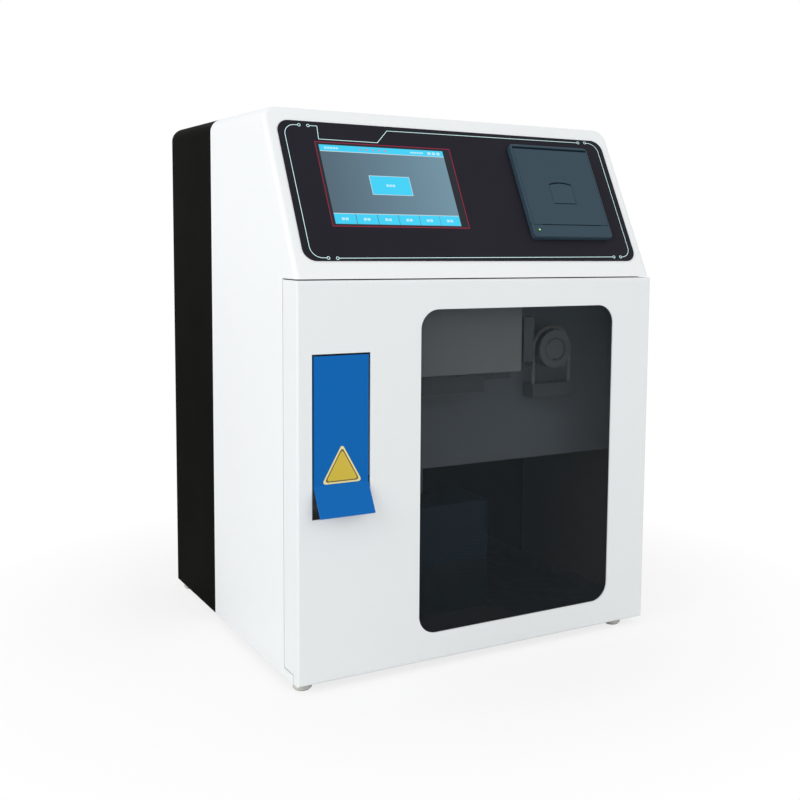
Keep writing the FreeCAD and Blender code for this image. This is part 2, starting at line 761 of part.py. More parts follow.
# Hinge pins: headed pins in the ledge and in the sloping panel's lower flange
def make_hinge_pin(name, foot, turn):
    """A turned pin with its head inside the cabinet and its shank through the door's flange."""
    body = new_body(name)
    profile = sketch_on(body, "XZ_Plane", name + "_section")
    tip = "(hinge_head_height + 2 * steel + door_gap + hinge_reach)"
    outline(profile, ("0", "0"), ("hinge_head_radius", "0"), ("hinge_head_radius", "hinge_head_height"),
            ("hinge_pin_radius", "hinge_head_height"), ("hinge_pin_radius", tip), ("0", tip))
    turn_profile(body, profile, name + "_turning")
    return place(body, HINGE_X, "hinge_depth", foot, turn)


def make_hinge_pins():
    lower = make_hinge_pin("lower_pin", "toe_height - steel - hinge_head_height", UPRIGHT)
    upper = make_hinge_pin("upper_pin", f"{SLOPE_BOTTOM} + steel + hinge_head_height", UPSIDE_DOWN)
    return keep(group("hinge_pins", lower, upper), "hinge_pins")


def make_hinge_washers():
    """Nylon washers between the door's flanges and what carries the pins."""
    rings = []
    for name, foot in (("lower_ring", "toe_height"), ("upper_ring", f"{SLOPE_BOTTOM} - door_gap + fit")):
        outer = rod(name, "hinge_head_radius", "door_gap - fit", HINGE_X, "hinge_depth", foot)
        hole = rod(name + "_hole", "hinge_pin_radius + running_gap", "door_gap", HINGE_X, "hinge_depth", foot)
        rings.append(cut(name + "_cut", outer, hole))
    return keep(group("hinge_washers", *rings), "hinge_washers")


# Magnetic catch: magnet block on the left side, steel strike inside the door
def make_magnet_catch():
    block = box("catch_block", "catch_width", "catch_depth", "catch_length", "steel", PANEL_FRONT,
                "catch_height")
    slot = box("catch_slot", "catch_width / 3", "2 * steel", "0.8 * catch_length",
               "steel + catch_width / 3", f"{PANEL_FRONT} - steel", "catch_height + 0.1 * catch_length")
    return keep(cut("magnet_catch", block, slot), "magnet_catch")


def make_strike_plate():
    body = new_body("strike_plate")
    plan = sketch_on(body, "XY_Plane", "strike_angle", "catch_height")
    front, inner = f"({PANEL_FRONT} - strike_length)", f"({PANEL_FRONT} - steel)"
    right = "(steel + catch_width)"
    outline(plan, ("steel", front), ("2 * steel", front), ("2 * steel", inner), (right, inner),
            (right, PANEL_FRONT), ("steel", PANEL_FRONT))
    pad(body, plan, "catch_length", "strike_fold")
    place(body)
    return keep(body, "strike_plate")


# Feet: round rubber feet screwed up into the tray
def make_foot(name, across, deep):
    body = new_body(name)
    profile = sketch_on(body, "XZ_Plane", name + "_section")
    bore, recess = "(screw_radius + running_gap)", "(screw_head_radius + fit)"
    head_seat = "(2 * screw_head_height - foot_height)"
    outline(profile, (bore, head_seat), (recess, head_seat), (recess, "-foot_height"),
            ("(foot_radius - foot_taper)", "-foot_height"), ("foot_radius", "(foot_taper - foot_height)"),
            ("foot_radius", "0"), (bore, "0"))
    turn_profile(body, profile, name + "_turning")
    return place(body, across, deep)


def make_feet():
    feet = [make_foot(f"foot_{number}", across, deep)
            for number, (across, deep) in enumerate(FOOT_SPOTS, start=1)]
    return keep(group("feet", *feet), "feet")


# Screws: one kind of pan-head screw for the feet, the pump motor and the rear cover
def make_screw(name, x, y, z, turn, shank):
    """Its head stands on the given point and its shank goes the other way."""
    head = doc.addObject("Part::Cone", name + "_head")
    bind(head, Radius1="screw_head_radius", Radius2="0.7 * screw_head_radius", Height="screw_head_height")
    place(head, x, y, z, turn)
    return fuse(name, head, rod(name + "_shank", "screw_radius", shank, x, y, z, turn.multiply(UPSIDE_DOWN)))


def make_screws():
    spots = [(x, y, "2 * screw_head_height - foot_height", UPSIDE_DOWN, "foot_height") for x, y in FOOT_SPOTS]
    spots += [(x, "panel_setback", z, FORWARD, "screw_length") for x, z in MOTOR_SCREW_SPOTS]
    spots += [(x, "cabinet_depth", COVER_SCREW_Z, BACKWARD, "screw_length") for x in COVER_SCREW_SPOTS]
    screws = [make_screw(f"screw_{number}", *spot) for number, spot in enumerate(spots, start=1)]
    return keep(group("screws", *screws), "screws")


# Control overlay: thin rounded sheet on the sloping panel, open for display and printer
def make_control_overlay():
    body = new_body("control_overlay")
    face = sketch_on(body, "XY_Plane", "overlay_face")
    rectangle(face, "overlay_left", "overlay_bottom", "overlay_width", "overlay_height")
    block = pad(body, face, "overlay_thickness", "overlay_sheet")
    corners = edges_where(block, lambda edge: runs_along(edge, Z_AXIS))
    round_edges(body, block, corners, "overlay_radius", "overlay_corners")
    openings = sketch_on(body, "XY_Plane", "overlay_openings", "overlay_thickness")
    rectangle(openings, "frame_left", "frame_bottom", "frame_width", "frame_height")
    rectangle(openings, "(printer_left + bucket_rim - fit)", "(printer_bottom + bucket_rim - fit)",
              "(printer_width - 2 * bucket_rim + 2 * fit)", "(printer_height - 2 * bucket_rim + 2 * fit)")
    pocket(body, openings, "2 * overlay_thickness", "overlay_cutouts")
    place_on_slope(body)
    return keep(body, "control_overlay")


def make_display_frame():
    """Dark red gasket that shows as a line round the screen."""
    body = new_body("display_frame")
    face = sketch_on(body, "XY_Plane", "frame_face")
    rectangle(face, "(frame_left + running_gap)", "(frame_bottom + running_gap)",
              "(frame_width - 2 * running_gap)", "(frame_height - 2 * running_gap)")
    rectangle(face, "screen_left", "screen_bottom", "screen_width", "screen_height")
    pad(body, face, "overlay_thickness", "frame_ring")
    place_on_slope(body)
    return keep(body, "display_frame")


def make_touch_display():
    """Display module: glass that fills the frame, on a deeper case behind the sheet."""
    body = new_body("touch_display")
    case = sketch_on(body, "XY_Plane", "case_face", "-steel")
    rectangle(case, "(screen_left - display_border)", "(screen_bottom - display_border)",
              "(screen_width + 2 * display_border)", "(screen_height + 2 * display_border)")
    block = pad(body, case, "display_depth", "display_case", back=True)
    rear = edges_where(block, lambda edge: near(edge.CenterOfMass.z, -size("steel") - size("display_depth")))
    eased = body.newObject("PartDesign::Chamfer", "case_edges")
    eased.Base = (block, rear)
    bind(eased, Size="display_depth / 4")
    doc.recompute()
    glass = sketch_on(body, "XY_Plane", "glass_face", "-steel")
    rectangle(glass, "(screen_left + running_gap)", "(screen_bottom + running_gap)",
              "(screen_width - 2 * running_gap)", "(screen_height - 2 * running_gap)")
    pad(body, glass, "steel + overlay_thickness", "display_glass")
    place_on_slope(body)
    return keep(body, "touch_display")


def slope_rod(name, radius, length, across, up, out):
    """A rod lying across the printer, given in the printer's own corner axes."""
    item = doc.addObject("Part::Cylinder", name)
    bind(item, Radius=radius, Height=length)
    return place_on_slope(item, f"printer_left + {across}", f"printer_bottom + {up}",
                          f"overlay_thickness + {out}", SIDEWAYS)


# Printer: a moulded bucket with a raised bezel, a drop-down paper door and its roller
def make_printer_housing():
    body = new_body("printer_housing")
    flange = sketch_on(body, "XY_Plane", "bezel_face")
    rectangle(flange, "0", "0", "printer_width", "printer_height")
    block = pad(body, flange, "bezel_rise", "bezel_block")
    upright = edges_where(block, lambda edge: runs_along(edge, Z_AXIS))
    cornered = round_edges(body, block, upright, "bezel_corner_radius", "bezel_corners")
    rim = edges_where(cornered, lambda edge: near(edge.CenterOfMass.z, size("bezel_rise")))
    round_edges(body, cornered, rim, "bezel_edge_radius", "bezel_edges")
    bucket = sketch_on(body, "XY_Plane", "bucket_outline")
    rectangle(bucket, "bucket_rim", "bucket_rim", "(printer_width - 2 * bucket_rim)",
              "(printer_height - 2 * bucket_rim)")
    pad(body, bucket, "bucket_depth", "bucket_block", back=True)
    hollow = sketch_on(body, "XY_Plane", "bucket_inside", "bezel_rise")
    rectangle(hollow, "(bucket_rim + bucket_wall)", "paper_door_bottom",
              "(printer_width - 2 * bucket_rim - 2 * bucket_wall)",
              "(printer_height - bucket_rim - bucket_wall - paper_door_bottom)")
    pocket(body, hollow, "bezel_rise + bucket_depth - bucket_wall", "bucket_hollow")
    seat = sketch_on(body, "XY_Plane", "door_seat", "bezel_rise")
    rectangle(seat, "(paper_door_left - slide_fit)", "(paper_door_bottom - slide_fit)",
              "(paper_door_width + 2 * slide_fit)", "(paper_door_height + 2 * slide_fit + 2)")
    pocket(body, seat, "paper_door_thickness + slide_fit", "paper_door_seat")
    pivots = sketch_on(body, "YZ_Plane", "pivot_holes", "-1")
    circle(pivots, PAPER_PIN_UP, PAPER_PIN_OUT, "paper_pin_radius + running_gap")
    pocket(body, pivots, "printer_width + 2", "pivot_bores", back=True)
    led = sketch_on(body, "XY_Plane", "led_hole", "bezel_rise")
    circle(led, "led_across", "led_up", "led_radius")
    pocket(body, led, "bezel_rise + 2 * steel", "led_bore")
    place_on_slope(body, "printer_left", "printer_bottom", "overlay_thickness")
    return keep(body, "printer_housing")


def arched_block(name, clearance, low, high, depth, out):
    """A block of the latch's outline, whose top is a shallow arch, made larger by a clearance."""
    block = doc.addObject("Part::Box", name + "_block")
    bind(block, Length=f"latch_width + 2 * {clearance}", Height=depth,
         Width=f"latch_height + latch_arch - {low} - {high} + 2 * {clearance}")
    place_on_slope(block, f"printer_left + {LATCH_LEFT} - {clearance}",
                   f"printer_bottom + {LATCH_UP} + {low} - {clearance}", out)
    arch = doc.addObject("Part::Cylinder", name + "_arch")
    bind(arch, Radius=f"{ARCH_RADIUS} + {clearance}", Height=depth)
    place_on_slope(arch, "printer_left + printer_width / 2",
                   f"printer_bottom + {LATCH_UP} + latch_height + latch_arch - {high} - {ARCH_RADIUS}", out)
    item = doc.addObject("Part::MultiCommon", name)
    item.Shapes = [block, arch]
    return item


def make_paper_door():
    """Door that turns on a pin in its rounded lower edge and carries the platen in two cheeks."""
    body = new_body("paper_door_body")
    face = sketch_on(body, "XY_Plane", "paper_door_face", "bezel_rise")
    rectangle(face, "paper_door_left", "paper_door_bottom", "paper_door_width", "paper_door_height")
    block = pad(body, face, "paper_door_thickness", "paper_door_plate", back=True)
    lower = edges_where(block, lambda edge: runs_along(edge, X_AXIS)
                        and near(edge.CenterOfMass.y, size("paper_door_bottom")))
    round_edges(body, block, lower, "0.48 * paper_door_thickness", "paper_door_barrel")
    cheeks = sketch_on(body, "XY_Plane", "cheek_outlines", "bezel_rise - paper_door_thickness")
    for left in (CHEEK_LEFT, CHEEK_RIGHT):
        rectangle(cheeks, left, f"({PLATEN_UP} - platen_radius)", "cheek_width", "2 * platen_radius")
    pad(body, cheeks, "platen_drop - paper_door_thickness + shaft_boss", "paper_door_cheeks", back=True)
    platen = sketch_on(body, "YZ_Plane", "platen_bores", f"{CHEEK_LEFT} - 1")
    circle(platen, PLATEN_UP, PLATEN_OUT, "platen_shaft_radius + running_gap")
    pocket(body, platen, f"{CHEEK_RIGHT} - {CHEEK_LEFT} + cheek_width + 2", "platen_shaft_bores", back=True)
    relief = sketch_on(body, "XY_Plane", "lower_relief", "bezel_rise + 1")
    rectangle(relief, "(paper_door_left + paper_relief_inset)", "(paper_door_bottom - paper_relief)",
              "(paper_door_width - 2 * paper_relief_inset)", "(2 * paper_relief)")
    pocket(body, relief, "paper_door_thickness + 2", "lower_edge_relief")
    place_on_slope(body, "printer_left", "printer_bottom", "overlay_thickness")
    opening = arched_block("latch_opening", "slide_fit", "0", "0", "paper_door_thickness + 2",
                           "overlay_thickness + bezel_rise - paper_door_thickness - 1")
    trunnions = slope_rod("door_trunnions", "paper_pin_radius", "printer_width - bucket_rim",
                          "bucket_rim / 2", PAPER_PIN_UP, PAPER_PIN_OUT)
    return keep(cut("paper_door", fuse("paper_door_moulding", body, trunnions), opening), "paper_door")


def make_printer_latch():
    """Press-in paddle with an arched top, kept in the paper door by its rim."""
    plate = arched_block("latch_plate", "0", "latch_sill", "latch_brow", "paper_door_thickness",
                         "overlay_thickness + bezel_rise - paper_door_thickness")
    body = new_body("latch_back")
    rim = sketch_on(body, "XY_Plane", "rim_face", "bezel_rise - paper_door_thickness - slide_fit")
    rectangle(rim, f"({LATCH_LEFT} - latch_lap)", f"({LATCH_UP} - latch_lap)",
              "(latch_width + 2 * latch_lap)", "(latch_height + latch_arch + 2 * latch_lap)")
    pad(body, rim, "latch_rim", "rim_pad", back=True)
    neck = sketch_on(body, "XY_Plane", "neck_face", "bezel_rise - paper_door_thickness")
    rectangle(neck, f"({LATCH_LEFT} + 2 * latch_lap)", f"({LATCH_UP} + 2 * latch_lap)",
              "(latch_width - 4 * latch_lap)", "(latch_height - 4 * latch_lap)")
    pad(body, neck, "2 * slide_fit", "latch_neck", back=True)
    place_on_slope(body, "printer_left", "printer_bottom", "overlay_thickness")
    return keep(fuse("printer_latch", plate, body), "printer_latch")


def make_printer_inside():
    shaft = slope_rod("platen_shaft", "platen_shaft_radius", f"{CHEEK_RIGHT} + cheek_width - {CHEEK_LEFT}",
                      CHEEK_LEFT, PLATEN_UP, PLATEN_OUT)
    rubber = slope_rod("platen_rubber", "platen_radius", "roll_width", ROLL_LEFT, PLATEN_UP, PLATEN_OUT)
    keep(fuse("platen_roller", shaft, rubber), "platen_roller")
    roll = slope_rod("roll_paper", "roll_radius", "roll_width", ROLL_LEFT, ROLL_UP, ROLL_OUT)
    core = slope_rod("roll_core", "roll_radius / 3", "roll_width", ROLL_LEFT, ROLL_UP, ROLL_OUT)
    keep(cut("paper_roll", roll, core), "paper_roll")
    head_left = f"printer_left + {ROLL_LEFT} - cheek_width"
    head_up = f"printer_bottom + {PLATEN_UP} - 1.5 * platen_radius"
    head_back = f"{PLATEN_OUT} - platen_radius - slide_fit - head_thickness"
    head = doc.addObject("Part::Box", "head_block")
    bind(head, Length="roll_width + 2 * cheek_width", Width="head_reach", Height="head_thickness")
    place_on_slope(head, head_left, head_up, f"overlay_thickness + {head_back}")
    fin = doc.addObject("Part::Box", "head_fin")
    bind(fin, Length="roll_width + 2 * cheek_width", Width="head_leg",
         Height=f"bucket_depth - bucket_wall + {head_back}")
    place_on_slope(fin, head_left, f"{head_up} + head_reach - head_leg",
                   "overlay_thickness - bucket_depth + bucket_wall")
    keep(fuse("print_head", head, fin), "print_head")


def make_printer_led():
    """Status lamp: a domed rod that stands a little proud of its bore in the bezel."""
    spot = ("printer_left + led_across", "printer_bottom + led_up")
    led = doc.addObject("Part::Cylinder", "led_body")
    bind(led, Radius="led_radius - running_gap", Height="bezel_rise")
    place_on_slope(led, *spot, "overlay_thickness + slide_fit")
    dome = doc.addObject("Part::Sphere", "led_dome")
    bind(dome, Radius="led_radius - running_gap")
    place_on_slope(dome, *spot, "overlay_thickness + slide_fit + bezel_rise - led_radius / 3")
    keep(fuse("printer_led", led, dome), "printer_led")


# Sampler: the blue flap hangs from a pin and carries the needle in its holder
def make_sampler_flap():
    body = new_body("sampler_flap")
    side = sketch_on(body, "YZ_Plane", "flap_section", FLAP_LEFT)
    reach = "lip_length * sin(lip_angle)"
    drop = "lip_length * cos(lip_angle)"
    inner_y = f"(flap_thickness * cos(lip_angle) - {reach})"
    inner_z = f"(flap_bend - {drop} - flap_thickness * sin(lip_angle))"
    elbow_z = "(flap_bend - flap_thickness * tan(lip_angle / 2))"
    outline(side, ("0", "flap_bend"), (f"(-{reach})", f"(flap_bend - {drop})"), (inner_y, inner_z),
            ("flap_thickness", elbow_z), ("flap_thickness", FLAP_TOP), ("0", FLAP_TOP))
    pad(body, side, FLAP_WIDTH, "flap_fold")
    for name, left in (("left_ear", FLAP_LEFT),
                       ("right_ear", f"{FLAP_LEFT} + {FLAP_WIDTH} - flap_thickness")):
        ear = sketch_on(body, "YZ_Plane", name, left)
        outline(ear, ("0.5 * flap_thickness", "(pivot_height - 2 * ear_height)"),
                ("ear_reach", "(pivot_height - ear_height)"), ("ear_reach", "(pivot_height + ear_height)"),
                ("0.5 * flap_thickness", "(pivot_height + ear_height)"))
        pad(body, ear, "flap_thickness", name + "_pad")
    bore = sketch_on(body, "YZ_Plane", "ear_holes", "0")
    circle(bore, "pivot_depth", "pivot_height", "pivot_radius + running_gap")
    pocket(body, bore, f"{FLAP_LEFT} + {FLAP_WIDTH} + 5", "ear_bores", back=True)
    place(body)
    return keep(body, "sampler_flap")


def make_sampler_bracket():
    body = new_body("sampler_bracket")
    wall = sketch_on(body, "XZ_Plane", "bracket_face", "-bracket_depth")
    rectangle(wall, "steel", "bracket_bottom", "(panel_left - steel - fit)", "bracket_height")
    pad(body, wall, "steel", "bracket_wall", back=True)
    fold = sketch_on(body, "YZ_Plane", "bracket_flange", "steel")
    rectangle(fold, "bracket_depth", "bracket_bottom", "ear_reach", "bracket_height")
    pad(body, fold, "steel", "side_flange")
    for name, left in (("left_arm", f"{FLAP_LEFT} + flap_thickness + slide_fit"),
                       ("right_arm", f"{FLAP_LEFT} + {FLAP_WIDTH} - flap_thickness - slide_fit - steel")):
        arm = sketch_on(body, "YZ_Plane", name, left)
        nose, root = "(pivot_depth - arm_reach)", "(bracket_depth + steel / 2)"
        outline(arm, (nose, "(pivot_height - arm_reach)"), (root, "(pivot_height - 2 * ear_height)"),
                (root, "(pivot_height + ear_height)"), (nose, "(pivot_height + arm_reach)"))
        pad(body, arm, "steel", name + "_pad")
    bore = sketch_on(body, "YZ_Plane", "arm_holes", "0")
    circle(bore, "pivot_depth", "pivot_height", "pivot_radius")
    pocket(body, bore, "panel_left", "arm_bores", back=True)
    place(body)
    return keep(body, "sampler_bracket")


def make_sampler_inside():
    pin = rod("flap_pin", "pivot_radius", f"{FLAP_WIDTH} + 2 * slide_fit", f"{FLAP_LEFT} - slide_fit",
              "pivot_depth", "pivot_height", SIDEWAYS)
    keep(pin, "flap_pin")
    holder = box("holder_block", "holder_width", "holder_depth", "holder_height",
                 f"{NEEDLE_X} - holder_width / 2", "flap_thickness", "pivot_height - holder_drop")
    holder_bore = rod("holder_bore", "pivot_radius + running_gap", "holder_width + 2",
                      f"{NEEDLE_X} - holder_width / 2 - 1", "pivot_depth", "pivot_height", SIDEWAYS)
    seat = rod("needle_seat", "needle_radius", "holder_height", NEEDLE_X, NEEDLE_Y,
               "pivot_height - 1.5 * holder_drop")
    keep(cut("probe_holder", holder, holder_bore, seat), "probe_holder")
    needle = rod("sample_needle", "needle_radius", "needle_length - needle_top", NEEDLE_X, NEEDLE_Y,
                 "pivot_height - needle_length")
    keep(needle, "sample_needle")


def make_wash_cup():
    """Block on the bracket with a well that is open at the front, for the needle's tip."""
    depth, foot = "(bracket_depth - cup_front)", "(bracket_bottom + cup_rise)"
    cup = box("cup_block", "cup_width", depth, "cup_height", f"{NEEDLE_X} - cup_width / 2", "cup_front", foot)
    well = box("cup_well", "cup_width - 2 * cup_wall", f"{depth} - cup_wall - cup_backing", "cup_height",
               f"{NEEDLE_X} - cup_width / 2 + cup_wall", "cup_front - 1", f"{foot} + cup_wall")
    drain = rod("cup_drain", "drain_radius", "cup_height", NEEDLE_X, NEEDLE_Y, f"{foot} - cup_wall")
    keep(cut("wash_cup", cup, well, drain), "wash_cup")


# Inner panel: white sheet that carries the measuring parts, with a wall to the tray
def make_module_panel():
    body = new_body("module_panel")
    face = sketch_on(body, "XZ_Plane", "panel_face", "-panel_setback")
    rectangle(face, "panel_left", "panel_bottom", PANEL_WIDTH, "panel_height")
    pad(body, face, "steel", "panel_sheet", back=True)
    wall = sketch_on(body, "YZ_Plane", "panel_wall", "panel_left")
    rectangle(wall, "panel_setback", "steel", "(front_shell_depth - panel_setback - panel_rear_gap)",
              "(panel_bottom + panel_height - steel)")
    pad(body, wall, "steel", "wall_sheet")
    side = sketch_on(body, "YZ_Plane", "panel_flange", f"panel_left + {PANEL_WIDTH} - steel")
    rectangle(side, "panel_setback", "panel_bottom", "panel_flange", "panel_height")
    pad(body, side, "steel", "flange_sheet")
    roof = sketch_on(body, "XY_Plane", "panel_shelf", "panel_bottom")
    rectangle(roof, "panel_left", "panel_setback", PANEL_WIDTH,
              "(front_shell_depth - panel_setback - panel_rear_gap)")
    pad(body, roof, "steel", "shelf_sheet")
    holes = sketch_on(body, "XZ_Plane", "panel_holes", "-panel_setback + 1")
    circle(holes, "pump_across", "pump_height", "motor_boss_radius + running_gap")
    for across, up in MOTOR_SCREW_SPOTS:
        circle(holes, across, up, "screw_radius + running_gap")
    pocket(body, holes, "steel + 2", "panel_openings")
    shelf = sketch_on(body, "XY_Plane", "shelf_holes", "panel_bottom - 1")
    for across in TUBE_SPOTS:
        circle(shelf, across, PORT_Y, "reagent_tube_radius + fit")
    pocket(body, shelf, "steel + 2", "shelf_openings", back=True)
    place(body)
    return keep(body, "module_panel")


# Electrode row: six electrodes side by side on a carrier, pressed together by a clamp
def make_electrode_carrier():
    depth = "panel_setback - carrier_setback"
    top = box("carrier_rail", "6.5 * electrode_width", depth, "carrier_plate", "carrier_left",
              "carrier_setback", "carrier_top - carrier_plate")
    block = box("carrier_block", "5 * electrode_width", depth, "carrier_height - carrier_plate",
                "carrier_left", "carrier_setback", "carrier_base")
    end = box("carrier_end", "electrode_width / 2 - slide_fit", depth, "electrode_height", "carrier_left",
              "carrier_setback", "carrier_top")
    channel = rod("end_channel", "channel_radius", "electrode_width", "carrier_left - 1", SAMPLE_Y, SAMPLE_Z,
                  SIDEWAYS)
    solid = fuse("carrier_solid", top, block, end)
    return keep(cut("electrode_carrier", solid, channel), "electrode_carrier")


def make_electrode(name, place_in_row):
    """One flow-through electrode: clear block with a capped body and a sample channel."""
    body = new_body(name)
    plan = sketch_on(body, "XY_Plane", "block_plan")
    rectangle(plan, "0", "0", "(electrode_width - running_gap)", "electrode_depth")
    block = pad(body, plan, "electrode_height", "electrode_block")
    upright = edges_where(block, lambda edge: runs_along(edge, Z_AXIS))
    item = body.newObject("PartDesign::Chamfer", "block_edges")
    item.Base = (block, upright)
    bind(item, Size="electrode_width / 16")
    doc.recompute()
    cap = sketch_on(body, "XY_Plane", "cap_plan", "electrode_height")
    circle(cap, "electrode_width / 2", "electrode_depth / 2", "electrode_cap_radius")
    pad(body, cap, "electrode_cap_height", "electrode_cap")
    bore = sketch_on(body, "YZ_Plane", "channel_face", "-1")
    circle(bore, "electrode_depth / 2", "electrode_height / 2", "channel_radius")
    pocket(body, bore, "electrode_width + 2", "sample_channel", back=True)
    place(body, f"carrier_left + electrode_width * ({place_in_row} + 0.5)", "carrier_setback", "carrier_top")
    return keep(body, name)


def make_electrode_cover():
    """Light pull-off shield over the electrodes, open at the back."""
    shell = box("cover_block", "cover_width", "panel_setback - cover_setback", "cover_height",
                "cover_left", "cover_setback", "cover_bottom")
    rounded = doc.addObject("Part::Fillet", "cover_rounded")
    rounded.Base = shell
    doc.recompute()
    front = min(corner.Y for corner in shell.Shape.Vertexes)
    rounded.Edges = [(number, size("cover_wall"), size("cover_wall"))
                     for number, edge in enumerate(shell.Shape.Edges, start=1)
                     if near(edge.CenterOfMass.y, front)]
    inside = box("cover_inside", "cover_width - 2 * cover_wall", "panel_setback - cover_setback",
                 "cover_height - cover_wall + 1", "cover_left + cover_wall", "cover_setback + cover_wall",
                 "cover_bottom - 1")
    notch_height = f"{SAMPLE_Z} - cover_bottom + cover_notch / 2 + 1"
    notches = [box(name, "3 * cover_wall", "cover_notch", notch_height, left, f"{SAMPLE_Y} - cover_notch / 2",
                   "cover_bottom - 1")
               for name, left in (("cover_tube_notch", "cover_left - cover_wall"),
                                  ("cover_rod_notch", "cover_left + cover_width - 2 * cover_wall"))]
    return keep(cut("electrode_cover", rounded, inside, *notches), "electrode_cover")


def make_electrode_clamp():
    """Sprung plunger with a thumb bar, pressing the row against the carrier's end."""
    start = "(carrier_left + 6.5 * electrode_width)"
    head = rod("clamp_pad", "clamp_pad_radius", "clamp_pad_length", start, SAMPLE_Y, SAMPLE_Z, SIDEWAYS)
    stem = rod("clamp_stem", "clamp_stem_radius", f"clamp_bar_left - {start}", start, SAMPLE_Y, SAMPLE_Z,
               SIDEWAYS)
    bar = box("clamp_bar_block", "clamp_bar_width", "clamp_bar_depth", "clamp_bar_height", "clamp_bar_left",
              "carrier_setback", "pump_height - clamp_bar_height / 4")
    return keep(fuse("electrode_clamp", head, stem, bar), "electrode_clamp")


# Peristaltic pump: rotor with three rollers, the tube stretched round it, motor behind
def turned_y(name, radius, length, front, across="pump_across", up="pump_height"):
    """A round piece whose axis runs back from a given depth."""
    return rod(name, radius, length, across, front, up, BACKWARD)


def roller_spot(number):
    """Centre of one roller, a third of a turn from the next."""
    angle = 90 + 120 * number
    return (f"pump_across + roller_orbit * cos({angle})", f"pump_height + roller_orbit * sin({angle})")


def make_pump_rotor():
    inside = "(roller_length + 2 * slide_fit)"
    back_disc = turned_y("rotor_back", "rotor_radius", "rotor_disc", f"pump_setback + rotor_disc + {inside}")
    hub = turned_y("rotor_hub", "hub_radius", f"{inside} + rotor_disc / 2", "pump_setback + rotor_disc")
    pins = [turned_y(f"roller_pin_{number + 1}", "roller_pin_radius", f"{inside} + rotor_disc / 2",
                     "pump_setback + rotor_disc", *roller_spot(number)) for number in range(3)]
    solid = fuse("rotor_solid", back_disc, hub, *pins)
    bore = turned_y("rotor_bore", "shaft_radius", "roller_length + 3 * rotor_disc",
                    "pump_setback + rotor_disc - 1")
    keep(cut("pump_rotor", solid, bore), "pump_rotor")


def make_rotor_cap():
    """Front disc with a dished ring and a raised middle."""
    cap = turned_y("cap_disc", "rotor_radius", "rotor_disc", "pump_setback")
    dish = turned_y("cap_dish", "dial_radius", "rotor_disc / 3", "pump_setback - running_gap")
    button = turned_y("cap_button", "dial_radius - 1", "rotor_disc / 2", "pump_setback")
    keep(fuse("rotor_cap", cut("cap_ring", cap, dish), button), "rotor_cap")


def make_pump_rollers():
    front = "pump_setback + rotor_disc + slide_fit"
    for number in range(3):
        spot = roller_spot(number)
        outer = turned_y(f"roller_outer_{number + 1}", "roller_radius", "roller_length", front, *spot)
        bore = turned_y(f"roller_bore_{number + 1}", "roller_pin_radius + running_gap", "roller_length",
                        front, *spot)
        keep(cut(f"pump_roller_{number + 1}", outer, bore), f"pump_roller_{number + 1}")


def make_pump_motor():
    """Square motor behind the panel, its boss in the panel's hole and its shaft in the rotor."""
    shaft = turned_y("pump_shaft", "shaft_radius", SHAFT_END + " - pump_setback - rotor_disc",
                     "pump_setback + rotor_disc")
    keep(shaft, "pump_shaft")
    case = box("motor_case", "motor_size", "motor_depth", "motor_size", "pump_across - motor_size / 2",
               "panel_setback + steel", "pump_height - motor_size / 2")
    boss = turned_y("motor_boss", "motor_boss_radius", "steel + boss_reach", "panel_setback - boss_reach")
    bore = turned_y("motor_bore", "shaft_radius + running_gap",
                    f"{SHAFT_END} - panel_setback + 2 * boss_reach", "panel_setback - 1.5 * boss_reach")
    taps = [turned_y(f"motor_tap_{number}", "screw_radius + running_gap", "screw_length + 1", "panel_setback",
                     *spot) for number, spot in enumerate(MOTOR_SCREW_SPOTS, start=1)]
    return keep(cut("pump_motor", fuse("motor_solid", case, boss), bore, *taps), "pump_motor")


def bend(name, sweep, tube, radius, x, y, z, turn):
    """Part of a ring of tube, swept from the turned x axis round the turned z axis."""
    item = doc.addObject("Part::Torus", name)
    item.Angle3 = sweep
    bind(item, Radius1=radius, Radius2=tube)
    return place(item, x, y, z, turn)


def make_pump_tube():
    """Silicone tube: half a turn over the rotor and two straight legs."""
    over = bend("pump_tube_loop", 180, "pump_tube_radius", TUBE_LOOP, "pump_across", PUMP_Y, "pump_height",
                FORWARD)
    legs = [rod(f"pump_tube_leg_{number}", "pump_tube_radius", "pump_leg", f"pump_across {side} {TUBE_LOOP}",
                PUMP_Y, "pump_height - pump_leg") for number, side in enumerate("-+", start=1)]
    return keep(fuse("pump_tube", over, *legs), "pump_tube")


def make_tube_holder():
    """White block that holds both legs of the pump tube on the panel."""
    half = f"({TUBE_LOOP} + pump_tube_radius + fit)"
    front = f"({PUMP_Y} - 2 * pump_tube_radius)"
    block = box("holder_bar", f"2 * {half}", f"panel_setback - {front}", "holder_rise",
                f"pump_across - {half}", front, "pump_height - pump_leg - holder_rise")
    return keep(block, "tube_holder")


def make_sample_tube():
    """Thin tube from the flap's pivot in two equal bends to the electrode row."""
    tube = "sample_tube_radius"
    start = f"({FLAP_LEFT} + {FLAP_WIDTH} + slide_fit)"
    swing = f"(({SAMPLE_Y} - pivot_depth) / 2)"
    last = "(carrier_left - 2 * sample_tube_radius)"
    first = f"({last} - 2 * {swing})"
    between = f"pivot_depth + {swing}"
    pieces = [
        rod("sample_tube_front", tube, f"{first} - {start}", start, "pivot_depth", "pivot_height", SIDEWAYS),
        bend("sample_tube_out", 90, tube, swing, first, between, "pivot_height", QUARTER_BACK),
        bend("sample_tube_in", 90, tube, swing, last, between, "pivot_height", QUARTER_AHEAD),
        rod("sample_tube_end", tube, f"carrier_left - {last}", last, SAMPLE_Y, "pivot_height", SIDEWAYS)]
    return keep(fuse("sample_tube", *pieces), "sample_tube")


